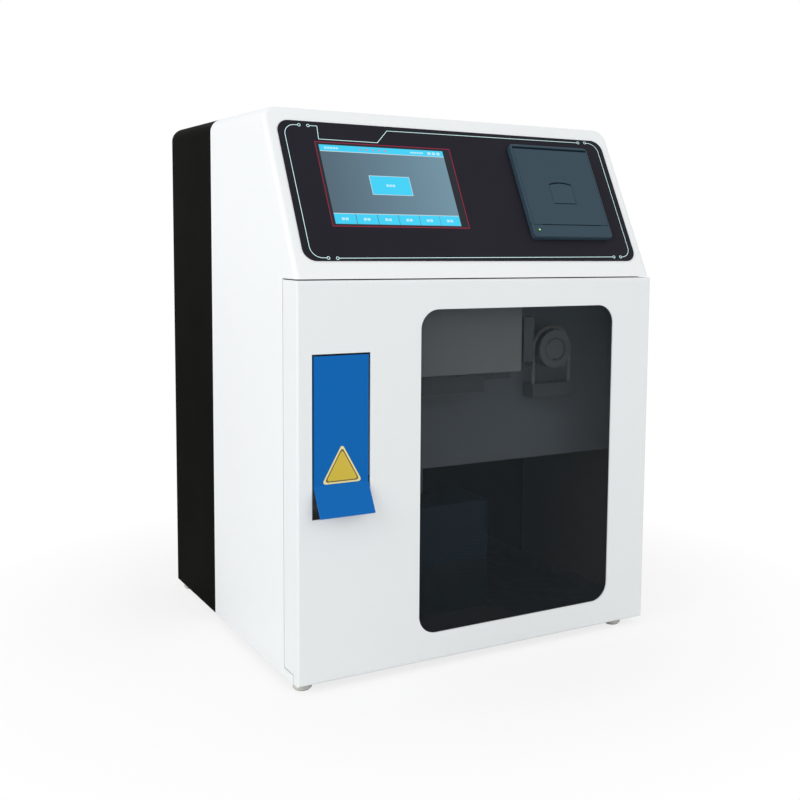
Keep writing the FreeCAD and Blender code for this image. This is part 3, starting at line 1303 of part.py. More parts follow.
# Reagents: sealed pack on its shelf, with the connector and valves above it
def make_pack_shelf():
    body = new_body("pack_shelf")
    section = sketch_on(body, "XZ_Plane", "shelf_section", f"-{PANEL_FRONT} - steel - fit")
    right = "(pack_left + pack_width + shelf_overhang)"
    left = "(panel_left + steel + fit)"
    under = "shelf_height - steel"
    outline(section, (left, "steel"), (f"{left} + steel", "steel"), (f"{left} + steel", under),
            (f"{right} - steel", under), (f"{right} - steel", "steel"), (right, "steel"),
            (right, "shelf_height"), (left, "shelf_height"))
    pad(body, section, f"front_shell_depth - {PANEL_FRONT} - 4 * steel", "shelf_fold", back=True)
    place(body)
    return keep(body, "pack_shelf")


def make_reagent_pack():
    body = new_body("reagent_pack")
    plan = sketch_on(body, "XY_Plane", "pack_plan", "shelf_height")
    rectangle(plan, "pack_left", "pack_setback", "pack_width", "pack_depth")
    block = pad(body, plan, "pack_height", "pack_block")
    upright = edges_where(block, lambda edge: runs_along(edge, Z_AXIS))
    rounded = round_edges(body, block, upright, "pack_edge_radius", "pack_corners")
    pack_top = size("shelf_height") + size("pack_height")
    top = edges_where(rounded, lambda edge: near(edge.CenterOfMass.z, pack_top))
    round_edges(body, rounded, top, "pack_edge_radius / 2", "pack_top_edges")
    dip = sketch_on(body, "XY_Plane", "port_recess", PACK_TOP)
    rectangle(dip, f"({TUBE_MIDDLE} - 1.7 * port_spacing)", f"({PORT_Y} - 0.7 * port_spacing)",
              "3.4 * port_spacing", "1.4 * port_spacing")
    pocket(body, dip, "recess_depth", "port_pocket")
    place(body)
    return keep(body, "reagent_pack")


def make_reagent_connector():
    plate = box("connector_plate", "3.2 * port_spacing", "port_spacing", "connector_height",
                f"{TUBE_MIDDLE} - 1.6 * port_spacing", f"{PORT_Y} - port_spacing / 2",
                f"{PACK_TOP} - recess_depth")
    return keep(plate, "reagent_connector")


def make_reagent_tubes():
    """Straight tubes from the pack's connector up through the panel's shelf to the valves."""
    foot = f"({PACK_TOP} - recess_depth + connector_height)"
    length = f"panel_bottom + steel + manifold_lift - {foot}"
    tubes = [rod(f"reagent_tube_{number}", "reagent_tube_radius", length, across, PORT_Y, foot)
             for number, across in enumerate(TUBE_SPOTS, start=1)]
    return keep(group("reagent_tubes", *tubes), "reagent_tubes")


def make_valves():
    """Manifold block on a rear foot, with three solenoid valves standing on it."""
    shelf, half = "(panel_bottom + steel)", "(1.7 * port_spacing)"
    left = f"{TUBE_MIDDLE} - {half}"
    top = f"({shelf} + manifold_lift + manifold_height)"
    block = box("manifold_block", f"2 * {half}", "1.8 * port_spacing", "manifold_height", left,
                f"{PORT_Y} - 0.9 * port_spacing", f"{shelf} + manifold_lift")
    foot = box("manifold_foot", f"2 * {half}", "0.2 * port_spacing", "manifold_lift", left,
               f"{PORT_Y} + 0.7 * port_spacing", shelf)
    coils = []
    for number, across in enumerate(TUBE_SPOTS, start=1):
        coils.append(rod(f"valve_coil_{number}", "valve_radius", "valve_height", across, PORT_Y, top))
        cap = doc.addObject("Part::Cone", f"valve_cap_{number}")
        bind(cap, Radius1="valve_radius", Radius2="valve_radius / 1.5", Height="valve_radius / 2")
        coils.append(place(cap, across, PORT_Y, f"{top} + valve_height"))
    return keep(fuse("valve_manifold", block, foot, *coils), "valve_manifold")


def make_liquid_sensor():
    left = f"(pump_across + {TUBE_LOOP} + pump_tube_radius + 2 * fit)"
    foot = "(pump_height - pump_leg - sensor_height)"
    block = box("sensor_block", "sensor_width", "sensor_width", "sensor_height", left,
                "panel_setback - sensor_width", foot)
    slot = box("sensor_slot", "sensor_width / 3", "sensor_width / 2", "sensor_height + 2",
               f"{left} + sensor_width / 3", "panel_setback - 1.2 * sensor_width", f"{foot} - 1")
    return keep(cut("liquid_sensor", block, slot), "liquid_sensor")


# Electronics: circuit board on the inner wall, supply on the tray, sockets at the back
CHIPS = [(0.2, 0.13, 0.2, 0.55), (0.12, 0.1, 0.55, 0.3), (0.08, 0.3, 0.8, 0.5), (0.15, 0.05, 0.15, 0.12)]
BOARD_CORNERS = [(0.06, 0.04), (0.94, 0.04), (0.06, 0.96), (0.94, 0.96)]


def make_main_board():
    """Circuit board on four posts, with its larger chips as plain blocks."""
    board = box("board_sheet", "board_thickness", BOARD_DEPTH, "board_height", BOARD_X, BOARD_Y,
                "board_bottom")
    chips = [box(f"chip_{number}", "2 * board_thickness", f"{wide} * {BOARD_DEPTH}", f"{tall} * board_height",
                 f"{BOARD_X} - 2 * board_thickness", f"{BOARD_Y} + {deep} * {BOARD_DEPTH}",
                 f"board_bottom + {up} * board_height")
             for number, (wide, tall, deep, up) in enumerate(CHIPS, start=1)]
    posts = [rod(f"board_post_{number}", "board_gap / 3", "board_gap", f"{BOARD_X} + board_thickness",
                 f"{BOARD_Y} + {deep} * {BOARD_DEPTH}", f"board_bottom + {up} * board_height", SIDEWAYS)
             for number, (deep, up) in enumerate(BOARD_CORNERS, start=1)]
    return keep(fuse("main_board", board, *chips, *posts), "main_board")


def make_power_supply():
    body = new_body("power_supply_case")
    plan = sketch_on(body, "XY_Plane", "supply_plan", "steel")
    rectangle(plan, "supply_left", "(front_shell_depth + supply_setback)", "supply_width", "supply_depth")
    block = pad(body, plan, "supply_height", "supply_block")
    top = edges_where(block, lambda edge: near(edge.CenterOfMass.z, size("steel") + size("supply_height")))
    eased = body.newObject("PartDesign::Chamfer", "supply_edges")
    eased.Base = (block, top)
    bind(eased, Size="supply_height / 12")
    doc.recompute()
    place(body)
    return keep(body, "power_supply")


def make_power_inlet():
    """Moulded inlet: flange outside the cover, with a socket, a fuse bay and a switch bay."""
    flange = box("inlet_flange_block", "inlet_width", "inlet_flange", "inlet_height", INLET_LEFT,
                 "cabinet_depth", "inlet_up")
    case = box("inlet_case", "inlet_width - 2 * inlet_lap - 2 * fit", "inlet_depth",
               "inlet_height - 2 * inlet_lap - 2 * fit", f"{INLET_LEFT} + inlet_lap + fit",
               "cabinet_depth - inlet_depth", "inlet_up + inlet_lap + fit")
    socket_foot, drawer_foot = "inlet_up + socket_bottom", "inlet_up + drawer_bottom"
    socket = box("socket_bay", "socket_width", "socket_depth + 1", "socket_height",
                 "inlet_across - socket_width / 2", f"{INLET_BACK} - socket_depth", socket_foot)
    fuse_bay = box("fuse_bay", "drawer_width", "drawer_depth + 1", "drawer_height",
                   "inlet_across - drawer_width / 2", f"{INLET_BACK} - drawer_depth", drawer_foot)
    switch_bay = box("switch_bay", "rocker_width + 2 * slide_fit", "1.5 * rocker_half",
                     "2 * rocker_half + 4 * slide_fit", "inlet_across - rocker_width / 2 - slide_fit",
                     f"{INLET_BACK} - 1.5 * rocker_half + 1", f"{ROCKER_Z} - rocker_half - 2 * slide_fit")
    pivot = rod("rocker_pivot_bore", "rocker_pin_radius + running_gap",
                "rocker_width + 4 * rocker_pin_radius",
                "inlet_across - rocker_width / 2 - 2 * rocker_pin_radius", ROCKER_Y, ROCKER_Z, SIDEWAYS)
    solid = fuse("inlet_solid", flange, case)
    housing = cut("inlet_housing", solid, socket, fuse_bay, switch_bay, pivot)
    spots = [(f"{side} * socket_width / 4 - blade_width / 2", "0.25 * socket_height") for side in (-1, 1)]
    spots.append(("-blade_width / 2", "0.6 * socket_height"))
    blades = [box(f"blade_{number}", "blade_width", "socket_depth - 1", "blade_height",
                  f"inlet_across + {side}", f"{INLET_BACK} - socket_depth - 1", f"{socket_foot} + {up}")
              for number, (side, up) in enumerate(spots, start=1)]
    return keep(fuse("power_inlet", housing, *blades), "power_inlet")


def make_fuse_drawer():
    foot = "inlet_up + drawer_bottom + fit"
    drawer = box("drawer_block", "drawer_width - 2 * fit", "drawer_depth + fit", "drawer_height - 2 * fit",
                 "inlet_across - drawer_width / 2 + fit", f"{INLET_BACK} - drawer_depth", foot)
    grip = box("drawer_grip", "drawer_width / 2", "grip_reach", "drawer_height / 3",
               "inlet_across - drawer_width / 4", f"{INLET_BACK} + fit", foot)
    return keep(fuse("fuse_drawer", drawer, grip), "fuse_drawer")


def make_rocker_switch():
    """Rocker with a shallow V face, at rest tilted so that its upper end stands out."""
    body = new_body("rocker_body")
    side = sketch_on(body, "YZ_Plane", "rocker_section", "-rocker_width / 2")
    outline(side, ("(-0.45 * rocker_half)", "(-0.85 * rocker_half)"),
            ("(0.32 * rocker_half)", "-rocker_half"), ("(0.18 * rocker_half)", "0"),
            ("(0.32 * rocker_half)", "rocker_half"), ("(-0.45 * rocker_half)", "(0.85 * rocker_half)"))
    pad(body, side, "rocker_width", "rocker_block")
    place(body, "inlet_across", ROCKER_Y, ROCKER_Z, FreeCAD.Rotation(X_AXIS, -size("rocker_tilt")))
    pin = rod("rocker_pin", "rocker_pin_radius", "rocker_width + 3 * rocker_pin_radius",
              "inlet_across - rocker_width / 2 - 1.5 * rocker_pin_radius", ROCKER_Y, ROCKER_Z, SIDEWAYS)
    return keep(fuse("rocker_moulding", body, pin), "rocker_switch")


def make_serial_port():
    """Nine-way port: flange outside the cover, a shell round two rows of pin holes."""
    flange = box("port_flange", "port_width", "steel", "port_height", "port_left", "cabinet_depth",
                 "port_up")
    shell = box("port_shell", "port_width - 2 * port_ear - 2 * steel", "port_reach",
                "port_height - 4 * steel", "port_left + port_ear + steel", "cabinet_depth",
                "port_up + 2 * steel")
    case = box("port_case_block", "port_width - 2 * port_ear - 2 * fit", "port_case",
               "port_height - 2 * steel - 2 * fit", "port_left + port_ear + fit", "cabinet_depth - port_case",
               "port_up + steel + fit")
    spots = [(step - 2, 0.5) for step in range(5)] + [(step - 1.5, -0.5) for step in range(4)]
    pins = [rod(f"port_hole_{number}", "port_pin_radius", "port_reach",
                f"port_left + port_width / 2 + {along} * port_pin_pitch", "cabinet_depth + steel",
                f"port_up + port_height / 2 + {rise} * port_pin_pitch", BACKWARD)
            for number, (along, rise) in enumerate(spots, start=1)]
    return keep(cut("serial_port", fuse("port_solid", flange, shell, case), *pins), "serial_port")


def make_ground_post():
    """Threaded stud with a hexagon nut on each side of the cover."""
    stud = rod("post_stud", "post_radius", "post_reach + post_root", POST_X, "cabinet_depth - post_root",
               POST_Z, BACKWARD)
    nuts = []
    for name, front in (("post_nut", "cabinet_depth"),
                        ("post_inner_nut", "cabinet_depth - steel - 1.6 * post_radius")):
        nut = doc.addObject("Part::Prism", name)
        nut.Polygon = 6
        bind(nut, Circumradius="2 * post_radius", Height="1.6 * post_radius")
        nuts.append(place(nut, POST_X, front, POST_Z, BACKWARD))
    return keep(fuse("ground_post", stud, *nuts), "ground_post")


make_cabinet_shell()
make_rear_cover()
make_base_tray()
make_front_door()
make_door_window()
make_hinge_pins()
make_hinge_washers()
make_magnet_catch()
make_strike_plate()
make_feet()
make_screws()
make_control_overlay()
make_display_frame()
make_touch_display()
make_printer_housing()
make_paper_door()
make_printer_latch()
make_printer_inside()
make_printer_led()
make_sampler_flap()
make_sampler_bracket()
make_sampler_inside()
make_wash_cup()
make_module_panel()
make_electrode_carrier()
for spot, ion in enumerate(("reference", "potassium", "sodium", "chloride", "calcium", "ph")):
    make_electrode(f"{ion}_electrode", spot)
make_electrode_cover()
make_electrode_clamp()
make_pump_rotor()
make_rotor_cap()
make_pump_rollers()
make_pump_motor()
make_pump_tube()
make_tube_holder()
make_sample_tube()
make_liquid_sensor()
make_pack_shelf()
make_reagent_pack()
make_reagent_connector()
make_reagent_tubes()
make_valves()
make_main_board()
make_power_supply()
make_power_inlet()
make_fuse_drawer()
make_rocker_switch()
make_serial_port()
make_ground_post()

doc.recompute()
for item in doc.Objects:
    if "Invalid" in item.State or "Error" in item.State:
        raise ValueError(f"{item.Label} failed: {item.State}")
os.makedirs("parts", exist_ok=True)
for item in kept:
    if item.Shape.isNull() or not item.Shape.isValid():
        raise ValueError(f"{item.Label} has no valid shape")
    item.Shape.exportStep(f"parts/{item.Label}.step")
print(f"{len(kept)} pieces, {sum(len(item.Shape.Solids) for item in kept)} solids")
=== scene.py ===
import math

import bmesh
import bpy
from mathutils import Matrix, Vector


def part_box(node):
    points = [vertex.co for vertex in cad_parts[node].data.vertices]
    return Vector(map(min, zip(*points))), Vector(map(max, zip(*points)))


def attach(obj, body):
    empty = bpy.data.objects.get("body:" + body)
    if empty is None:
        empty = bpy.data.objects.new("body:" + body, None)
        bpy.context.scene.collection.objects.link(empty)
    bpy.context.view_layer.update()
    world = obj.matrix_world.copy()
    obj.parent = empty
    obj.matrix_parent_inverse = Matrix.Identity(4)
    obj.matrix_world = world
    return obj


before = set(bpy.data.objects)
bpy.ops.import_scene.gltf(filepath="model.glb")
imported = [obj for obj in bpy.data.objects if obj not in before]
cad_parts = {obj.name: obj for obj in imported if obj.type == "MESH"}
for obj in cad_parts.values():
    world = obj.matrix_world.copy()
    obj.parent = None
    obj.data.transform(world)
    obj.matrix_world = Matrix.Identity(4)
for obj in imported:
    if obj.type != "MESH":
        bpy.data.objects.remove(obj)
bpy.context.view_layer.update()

# Cabinet shell: one sheet of steel, cut and folded into the sides, the top and the sloping panel.
# It is powder coated white, which leaves a satin face with a fine orange peel and soft changes of tone.
INNER_FACE_LIMIT = -0.08


def colour(red, green, blue):
    """A colour as it is read off a screen, from 0 to 255, as Blender's linear values."""
    parts = [value / 255 for value in (red, green, blue)]
    return tuple(((part + 0.055) / 1.055) ** 2.4 if part > 0.04 else part / 12.92 for part in parts) + (1.0,)


class Output:
    """One output of a finish's nodes, so that sums on it read as plain Python."""

    def __init__(self, finish, node, name):
        self.finish, self.maker, self.name = finish, node, name

    def sum(self, operation, first, second):
        return self.finish.node("Math", {"operation": operation}, {0: first, 1: second})

    def __getitem__(self, name):
        return Output(self.finish, self.maker, name)

    def __add__(self, other):
        return self.sum("ADD", self, other)

    def __sub__(self, other):
        return self.sum("SUBTRACT", self, other)

    def __rsub__(self, other):
        return self.sum("SUBTRACT", other, self)

    def __mul__(self, other):
        return self.sum("MULTIPLY", self, other)

    def __lt__(self, other):
        return self.sum("LESS_THAN", self, other)

    def __gt__(self, other):
        return self.sum("GREATER_THAN", self, other)

    def __or__(self, other):
        return self.sum("MAXIMUM", self, other)

    def __and__(self, other):
        return self.sum("MINIMUM", self, other)

    __radd__ = __add__
    __rmul__ = __mul__


class Finish:
    """The nodes of one material or of the world, with its main shader."""

    def __init__(self, name, owners=bpy.data.materials):
        self.owner = owners.new(name)
        self.owner.use_nodes = True
        self.tree = self.owner.node_tree
        self.shader = self.tree.nodes.get("Principled BSDF") or self.tree.nodes["Background"]

    def feed(self, node, sockets):
        for name, value in sockets.items():
            if isinstance(value, Output):
                self.tree.links.new(value.maker.outputs[value.name], node.inputs[name])
            else:
                node.inputs[name].default_value = value

    def node(self, kind, settings=None, sockets=None, output=0):
        made = self.tree.nodes.new("ShaderNode" + kind)
        for name, value in (settings or {}).items():
            setattr(made, name, value)
        self.feed(made, sockets or {})
        return Output(self, made, output)

    def mix(self, share, first, second):
        return self.node("Mix", {"data_type": "RGBA"}, {0: share, 6: first, 7: second}, 2)

    def place(self):
        return self.node("TexCoord", output="Object")

    def facing(self):
        return self.node("NewGeometry", output="Normal")

    def split(self, vector):
        return self.node("SeparateXYZ", {}, {0: vector})

    def vector(self, operation, *vectors, output=0):
        return self.node("VectorMath", {"operation": operation}, dict(enumerate(vectors)), output)

    def length(self, vector):
        return self.vector("LENGTH", vector, output="Value")

    def from_middle(self, name):
        """The place, measured from the middle of a CAD piece's box."""
        low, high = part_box(name)
        return self.vector("SUBTRACT", self.place(), (low + high) / 2)

    def noise(self, scale, detail=2.0, stretch=(1, 1, 1)):
        place = self.node("Mapping", {}, {"Vector": self.place(), "Scale": stretch})
        return self.node("TexNoise", {}, {"Vector": place, "Scale": scale, "Detail": detail})

    def bump(self, height, depth):
        """Relief whose full height, from 0 to 1, is depth in metres."""
        return self.node("Bump", {}, {"Height": height, "Distance": depth, "Strength": 1.0})

    def paint(self, sockets):
        self.feed(self.shader, sockets)
        return self.owner


def deeper(tone, share):
    """The same colour with a share of its light."""
    return tuple(value * share for value in tone[:3]) + (1.0,)


def powder_coat(name, tone, roughness=0.4, peel=0.00002, sheen=0.5):
    """Sprayed and baked paint: cloudy tone, fine orange peel, and a few rubbed spots that are glossier."""
    coat = Finish(name)
    cloud, grain = coat.noise(7), coat.noise(520, 3)
    rubbed = coat.node("MapRange", {}, {0: coat.noise(38, 4), 1: 0.55, 2: 0.75, 3: 0.0, 4: 0.05})
    coat.paint({
        "Base Color": coat.mix(cloud * 0.5 + grain * 0.12, tone, deeper(tone, 0.95)),
        "Roughness": roughness + (grain - 0.5) * 0.1 - rubbed, "Specular IOR Level": sheen,
        "Normal": coat.bump(grain, peel)})
    return coat


def dress(finish, *nodes):
    """Give CAD pieces a finish."""
    for name in nodes:
        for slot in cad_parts[name].material_slots:
            slot.material = finish


def inside_painted_shade(coat):
    """The inner faces of the two sides, whose normals point towards the middle, are painted a dull brown-grey
    as painted shade for the dark inside of the cabinet.
    """
    inner = coat.split(coat.place())["X"] * coat.split(coat.facing())["X"] < INNER_FACE_LIMIT
    outside = Output(coat, coat.shader.inputs["Base Color"].links[0].from_node, 2)
    return coat.paint({"Base Color": coat.mix(inner, outside, colour(140, 124, 112))})


dress(inside_painted_shade(powder_coat("white_powder_coat", colour(246, 249, 250))), "cabinet_shell")

# Rear cover: a black powder-coated pan with a row of vents, screwed to the tray.
# Its coat is rougher than the white one, and its upper faces are greyer: part dust, part painted sheen.


def black_coat_dust_and_sheen():
    coat = Finish("black_powder_coat")
    grain, dust, cloud = coat.noise(760, 4), coat.noise(16, 5), coat.noise(5)
    on_top = coat.split(coat.facing())["Z"] > 0.5
    # Grey on upward faces: part settled dust, part painted sheen.
    dust_and_sheen = coat.node("MapRange", {}, {0: dust, 1: 0.45, 2: 0.75, 3: 0.0, 4: 0.1}) * on_top
    speckle = grain * 0.7 + (cloud - 0.5) * 0.5 + (dust - 0.5) * 0.4
    black = coat.mix(speckle, colour(5, 5, 4), colour(26, 26, 24))
    return coat.paint({
        "Base Color": coat.mix(dust_and_sheen, black, colour(118, 116, 110)),
        "Roughness": 0.5 + (grain - 0.5) * 0.3 + dust_and_sheen, "Specular IOR Level": 0.004,
        "Normal": coat.bump(grain, 0.00006)})


dress(black_coat_dust_and_sheen(), "rear_cover")

# Base tray, strike plate, power supply case and sampler bracket: zinc-plated steel, folded and unpainted.
# The plating has large soft crystals and fine scratches from handling.


def zinc_plate():
    zinc = Finish("zinc_plate")
    crystal = zinc.node("TexVoronoi", {"feature": "F1"}, {"Vector": zinc.place(), "Scale": 150.0}, "Color")
    tone = zinc.node("SeparateColor", {}, {0: crystal})
    scratch = zinc.noise(90, 4, (1, 14, 14))
    return zinc.paint({
        "Base Color": zinc.mix(tone * 0.6, colour(178, 180, 182), colour(150, 153, 157)),
        "Metallic": 0.9, "Roughness": 0.36 + tone * 0.12 + (scratch - 0.5) * 0.2,
        "Normal": zinc.bump(scratch, 0.00002)})


dress(zinc_plate(), "base_tray", "strike_plate", "power_supply", "sampler_bracket")

# Hinge pins, screws, needle, flap pin, pump shaft and rollers: turned steel, bright and slightly ringed.
# The screws' cross recesses are drawn as thin dark crosses on the heads: painted shade for each sunk recess.


def turned_steel():
    steel = Finish("turned_steel")
    ring, tarnish = steel.noise(900, 2, (1, 1, 0.1)), steel.noise(60, 4)
    return steel.paint({
        "Base Color": steel.mix(tarnish * 0.5, colour(205, 206, 208), colour(166, 164, 160)),
        "Metallic": 1.0, "Roughness": 0.22 + tarnish * 0.16 + (ring - 0.5) * 0.1,
        "Normal": steel.bump(ring, 0.00001)})


shell_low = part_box("cabinet_shell")[0]
CABINET = Matrix.Translation((shell_low.x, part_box("front_door")[0].y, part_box("base_tray")[0].z)) \
    @ Matrix.Scale(0.001, 4)


def placed(name, mesh, finish):
    """Turn a bmesh into an object of the scene."""
    data = bpy.data.meshes.new(name)
    mesh.to_mesh(data)
    mesh.free()
    data.materials.append(finish)
    item = bpy.data.objects.new(name, data)
    bpy.context.scene.collection.objects.link(item)
    return item


def piece(name, mesh, place, finish, body):
    """Turn a bmesh, in millimetres, into a named piece that is set down by a matrix and carried by a body."""
    bmesh.ops.transform(mesh, matrix=place, verts=mesh.verts)
    bmesh.ops.recalc_face_normals(mesh, faces=mesh.faces)
    item = placed(name, mesh, finish)
    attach(item, body)


def slab(mesh, left, bottom, right, top, under, over, turn=0.0, seat=Matrix()):
    """A flat rectangle between two levels, turned about its own middle and then set on its seat."""
    middle = Matrix.Translation(((left + right) / 2, (bottom + top) / 2, (under + over) / 2))
    shape = Matrix.Diagonal((right - left, top - bottom, over - under, 1))
    bmesh.ops.create_cube(mesh, size=1, matrix=seat @ middle @ Matrix.Rotation(turn, 4, "Z") @ shape)


FRONT, BACK, DOWN = (Matrix.Rotation(math.radians(turn), 4, "X") for turn in (90, -90, 180))
PUMP_ACROSS, PUMP_HEIGHT = 258, 250.2
MOTOR_SCREW, MOTOR_FLANGE = 15.5, 48.4
COVER_BACK, COVER_SCREW_HEIGHT = 327.6, 7.8
FOOT_HOLLOW = -4.4
ARM, HALF_WIDTH, SUNK, PROUD = 1.45, 0.26, -0.04, 0.02
screw_heads = [((PUMP_ACROSS + side * MOTOR_SCREW, MOTOR_FLANGE, PUMP_HEIGHT + rise * MOTOR_SCREW), FRONT)
               for side in (-1, 1) for rise in (-1, 1)]
screw_heads += [((across, COVER_BACK, COVER_SCREW_HEIGHT), BACK) for across in (20, 170, 320)]
screw_heads += [((across, deep, FOOT_HOLLOW), DOWN) for across in (9, 316) for deep in (13.5, 302)]


# Painted shade for the screws' cross recesses: dark grey, a little metallic.
def recess_shade():
    shade = Finish("recess_shade")
    grain = shade.noise(700)
    return shade.paint({"Base Color": shade.mix(grain, colour(30, 30, 30), colour(58, 58, 58)),
                        "Metallic": 0.7, "Roughness": 0.6 + (grain - 0.5) * 0.2})


crosses = bmesh.new()
for spot, side in screw_heads:
    seat = Matrix.Translation(spot) @ side
    slab(crosses, -ARM, -HALF_WIDTH, ARM, HALF_WIDTH, SUNK, PROUD, seat=seat)
    slab(crosses, -HALF_WIDTH, -ARM, HALF_WIDTH, ARM, SUNK, 1.25 * PROUD, seat=seat)
piece("screw_recesses", crosses, CABINET, recess_shade(), "cabinet")
dress(turned_steel(), "hinge_pins", "screws", "sample_needle", "flap_pin", "pump_shaft", "pump_roller_1",
      "pump_roller_2", "pump_roller_3")

# Front door: a folded pan in the same white coat, a little greyer than the cabinet.
# The smoked window lies behind its skin, so the cut edge of the steel shows round the glass.
dress(powder_coat("door_powder_coat", colour(241, 245, 246), 0.38).owner, "front_door")


def smoked_acrylic():
    """Dark sheet that lets a little of the inside through, with faint wiping marks."""
    smoke = Finish("smoked_acrylic")
    wiped = smoke.noise(24, 4, (1, 1, 3))
    return smoke.paint({
        "Base Color": smoke.mix(wiped * 0.3, colour(26, 33, 37), colour(34, 41, 46)),
        "Roughness": 0.05 + wiped * 0.06, "Alpha": 0.44, "Specular IOR Level": 0.12,
        "Normal": smoke.bump(wiped, 0.00001)})


dress(smoked_acrylic(), "door_window")

# Moulded plastics: pale nylon inside, black for catch, inlet and print head, and slate for the printer.
# Each moulding is satin, with a spark-eroded texture finer than a millimetre.


def moulding(name, tone, roughness=0.45, texture=0.00002, share=0.35, sheen=0.5):
    plastic = Finish(name)
    flow, grain = plastic.noise(11, 2, (1, 1, 0.4)), plastic.noise(1500, 2)
    return plastic.paint({
        "Base Color": plastic.mix(flow * share + grain * 0.15, tone, deeper(tone, 0.82)),
        "Roughness": roughness + (grain - 0.5) * 0.14 + (flow - 0.5) * 0.06, "Specular IOR Level": sheen,
        "Normal": plastic.bump(grain, texture)})


dress(moulding("white_nylon", colour(216, 219, 218), 0.42), "hinge_washers", "probe_holder", "wash_cup")
# The carrier, tube holder and pump rotor are the white nylon painted darker, as painted shade inside the
# cabinet.
dress(moulding("white_nylon_painted_shade", colour(152, 160, 166), 0.42), "electrode_carrier", "tube_holder", "pump_rotor")
dress(moulding("black_plastic", colour(26, 26, 27), 0.5, 0.00003, sheen=0.25),
      "magnet_catch", "print_head", "power_inlet", "fuse_drawer", "reagent_connector")

# Feet: pale rubber buttons, turned or moulded, each screwed up into the tray.
# The rubber is matt, and darker round its lower edge.
LOWER_EDGE_HEIGHT = 0.0015


def pale_rubber():
    rubber = Finish("pale_rubber")
    grain, smear = rubber.noise(800), rubber.noise(120, 4)
    low = rubber.split(rubber.place())["Z"] < LOWER_EDGE_HEIGHT
    return rubber.paint({
        "Base Color": rubber.mix(smear * 0.3 + low * 0.25, colour(214, 214, 208), colour(150, 148, 140)),
        "Roughness": 0.75 + (grain - 0.5) * 0.1, "Normal": rubber.bump(grain, 0.00004)})


dress(pale_rubber(), "feet")

# Control overlay: a near-black printed film on the sloping panel, round the display and the printer.
# Its only print is a thin pale line of traces that end in small rings, given a faint painted glow. The place
# of the lettering is bare.
# Points on it are in millimetres from the left end of the slope's lower edge.
TILT = math.radians(28.3)
SLOPE_SETBACK, SLOPE_FOOT = 2, 315.5
SLOPE = CABINET @ Matrix(((1, 0, 0, 0), (0, math.sin(TILT), -math.cos(TILT), SLOPE_SETBACK),
                          (0, math.cos(TILT), math.sin(TILT), SLOPE_FOOT), (0, 0, 0, 1)))
FILM_FACE = 0.8
LINE_WIDTH, LINE_DEPTH = 0.44, 0.04
RING, BEND = 1.15, 9.5


def overlay_film():
    film = Finish("overlay_film")
    weave, smear = film.noise(2200), film.noise(13, 4)
    return film.paint({
        "Base Color": film.mix(smear * 0.6, colour(30, 28, 36), colour(42, 42, 52)),
        "Roughness": 0.5 + (smear - 0.5) * 0.12 + (weave - 0.5) * 0.08,
        "Specular IOR Level": 0.07, "Normal": film.bump(weave, 0.00001)})


def pale_ink(name, tone, glow=0.0):
    """Flat print, a little uneven, which may glow: on the screen the glow is the lit picture, on the
    overlay's traces it is painted light.
    """
    ink = Finish(name)
    speck = ink.noise(1800)
    return ink.paint({
        "Base Color": ink.mix(speck * 0.4, tone, deeper(tone, 0.8)),
        "Roughness": 0.5 + (speck - 0.5) * 0.1,
        "Emission Color": ink.mix(speck * 0.3, tone, deeper(tone, 0.8)), "Emission Strength": glow})


def run(mesh, start, end):
    """A straight run of print from one point of the panel to another."""
    start, end = Vector(start), Vector(end)
    middle, half, width = (start + end) / 2, (end - start).length / 2, LINE_WIDTH / 2
    slab(mesh, middle.x - half, middle.y - width, middle.x + half, middle.y + width,
         FILM_FACE, FILM_FACE + LINE_DEPTH, math.atan2(end.y - start.y, end.x - start.x))


def sweep(mesh, centre, radius, start, angle, width=LINE_WIDTH, under=FILM_FACE, over=FILM_FACE + LINE_DEPTH,
          steps=16):
    """A curved run: its end section spun round a centre, by degrees from the right."""
    across = Vector((math.cos(math.radians(start)), math.sin(math.radians(start)), 0))
    middle = Vector((centre[0], centre[1], 0))
    corners = [mesh.verts.new(middle + across * (radius + side * width / 2) + Vector((0, 0, level)))
               for side, level in ((-1, under), (1, under), (1, over), (-1, over))]
    sides = [mesh.edges.new((corners[step], corners[(step + 1) % 4])) for step in range(4)]
    closed = abs(angle) > 359
    ends = [] if closed else [mesh.faces.new(corners)]
    bmesh.ops.spin(mesh, geom=corners + sides + ends, cent=middle, axis=(0, 0, 1), angle=math.radians(angle),
                   steps=steps, use_merge=closed)


def trace(mesh, *points):
    """Straight runs through points, with a round joint at each corner."""
    for start, end in zip(points, points[1:]):
        run(mesh, start, end)
    for corner in points[1:-1]:
        sweep(mesh, corner, LINE_WIDTH / 4, 0, 360, LINE_WIDTH / 2, steps=10)


traces = bmesh.new()
for ring in ((28.8, 136.3), (29.8, 17.6), (37.4, 17.4), (305.6, 19), (313, 19), (312, 137.5), (304.2, 137),
             (36.6, 136.2)):
    sweep(traces, ring, RING, 0, 360, steps=24)
trace(traces, (36.6 + RING, 136.2), (44.3, 136.3), (43.3, 124.1), (95.4, 123.9), (106.9, 136.0),
      (304.2 - RING, 137))
trace(traces, (37.4 + RING, 17.4), (305.6 - RING, 19))
trace(traces, (28.8 - RING, 136.2), (24.9, 136.2))
sweep(traces, (24.9, 126.7), BEND, 90, 90)
trace(traces, (15.4, 126.7), (15.9, 27.2))
sweep(traces, (25.4, 27.2), BEND, 180, 90)
trace(traces, (25.4, 17.7), (29.8 - RING, 17.7))
trace(traces, (312 + RING, 137.2), (315, 137.2))
sweep(traces, (315, 127.7), BEND, 0, 90)
trace(traces, (324.5, 127.7), (324.6, 28.6))
sweep(traces, (315.1, 28.6), BEND, 270, 90)
trace(traces, (315.1, 19.1), (313 + RING, 19.1))
# The trace print glows faintly: painted light, since nothing lights it from behind.
piece("overlay_traces", traces, SLOPE, pale_ink("trace_ink_painted_glow", colour(206, 240, 240), 0.4), "cabinet")
dress(overlay_film(), "control_overlay")

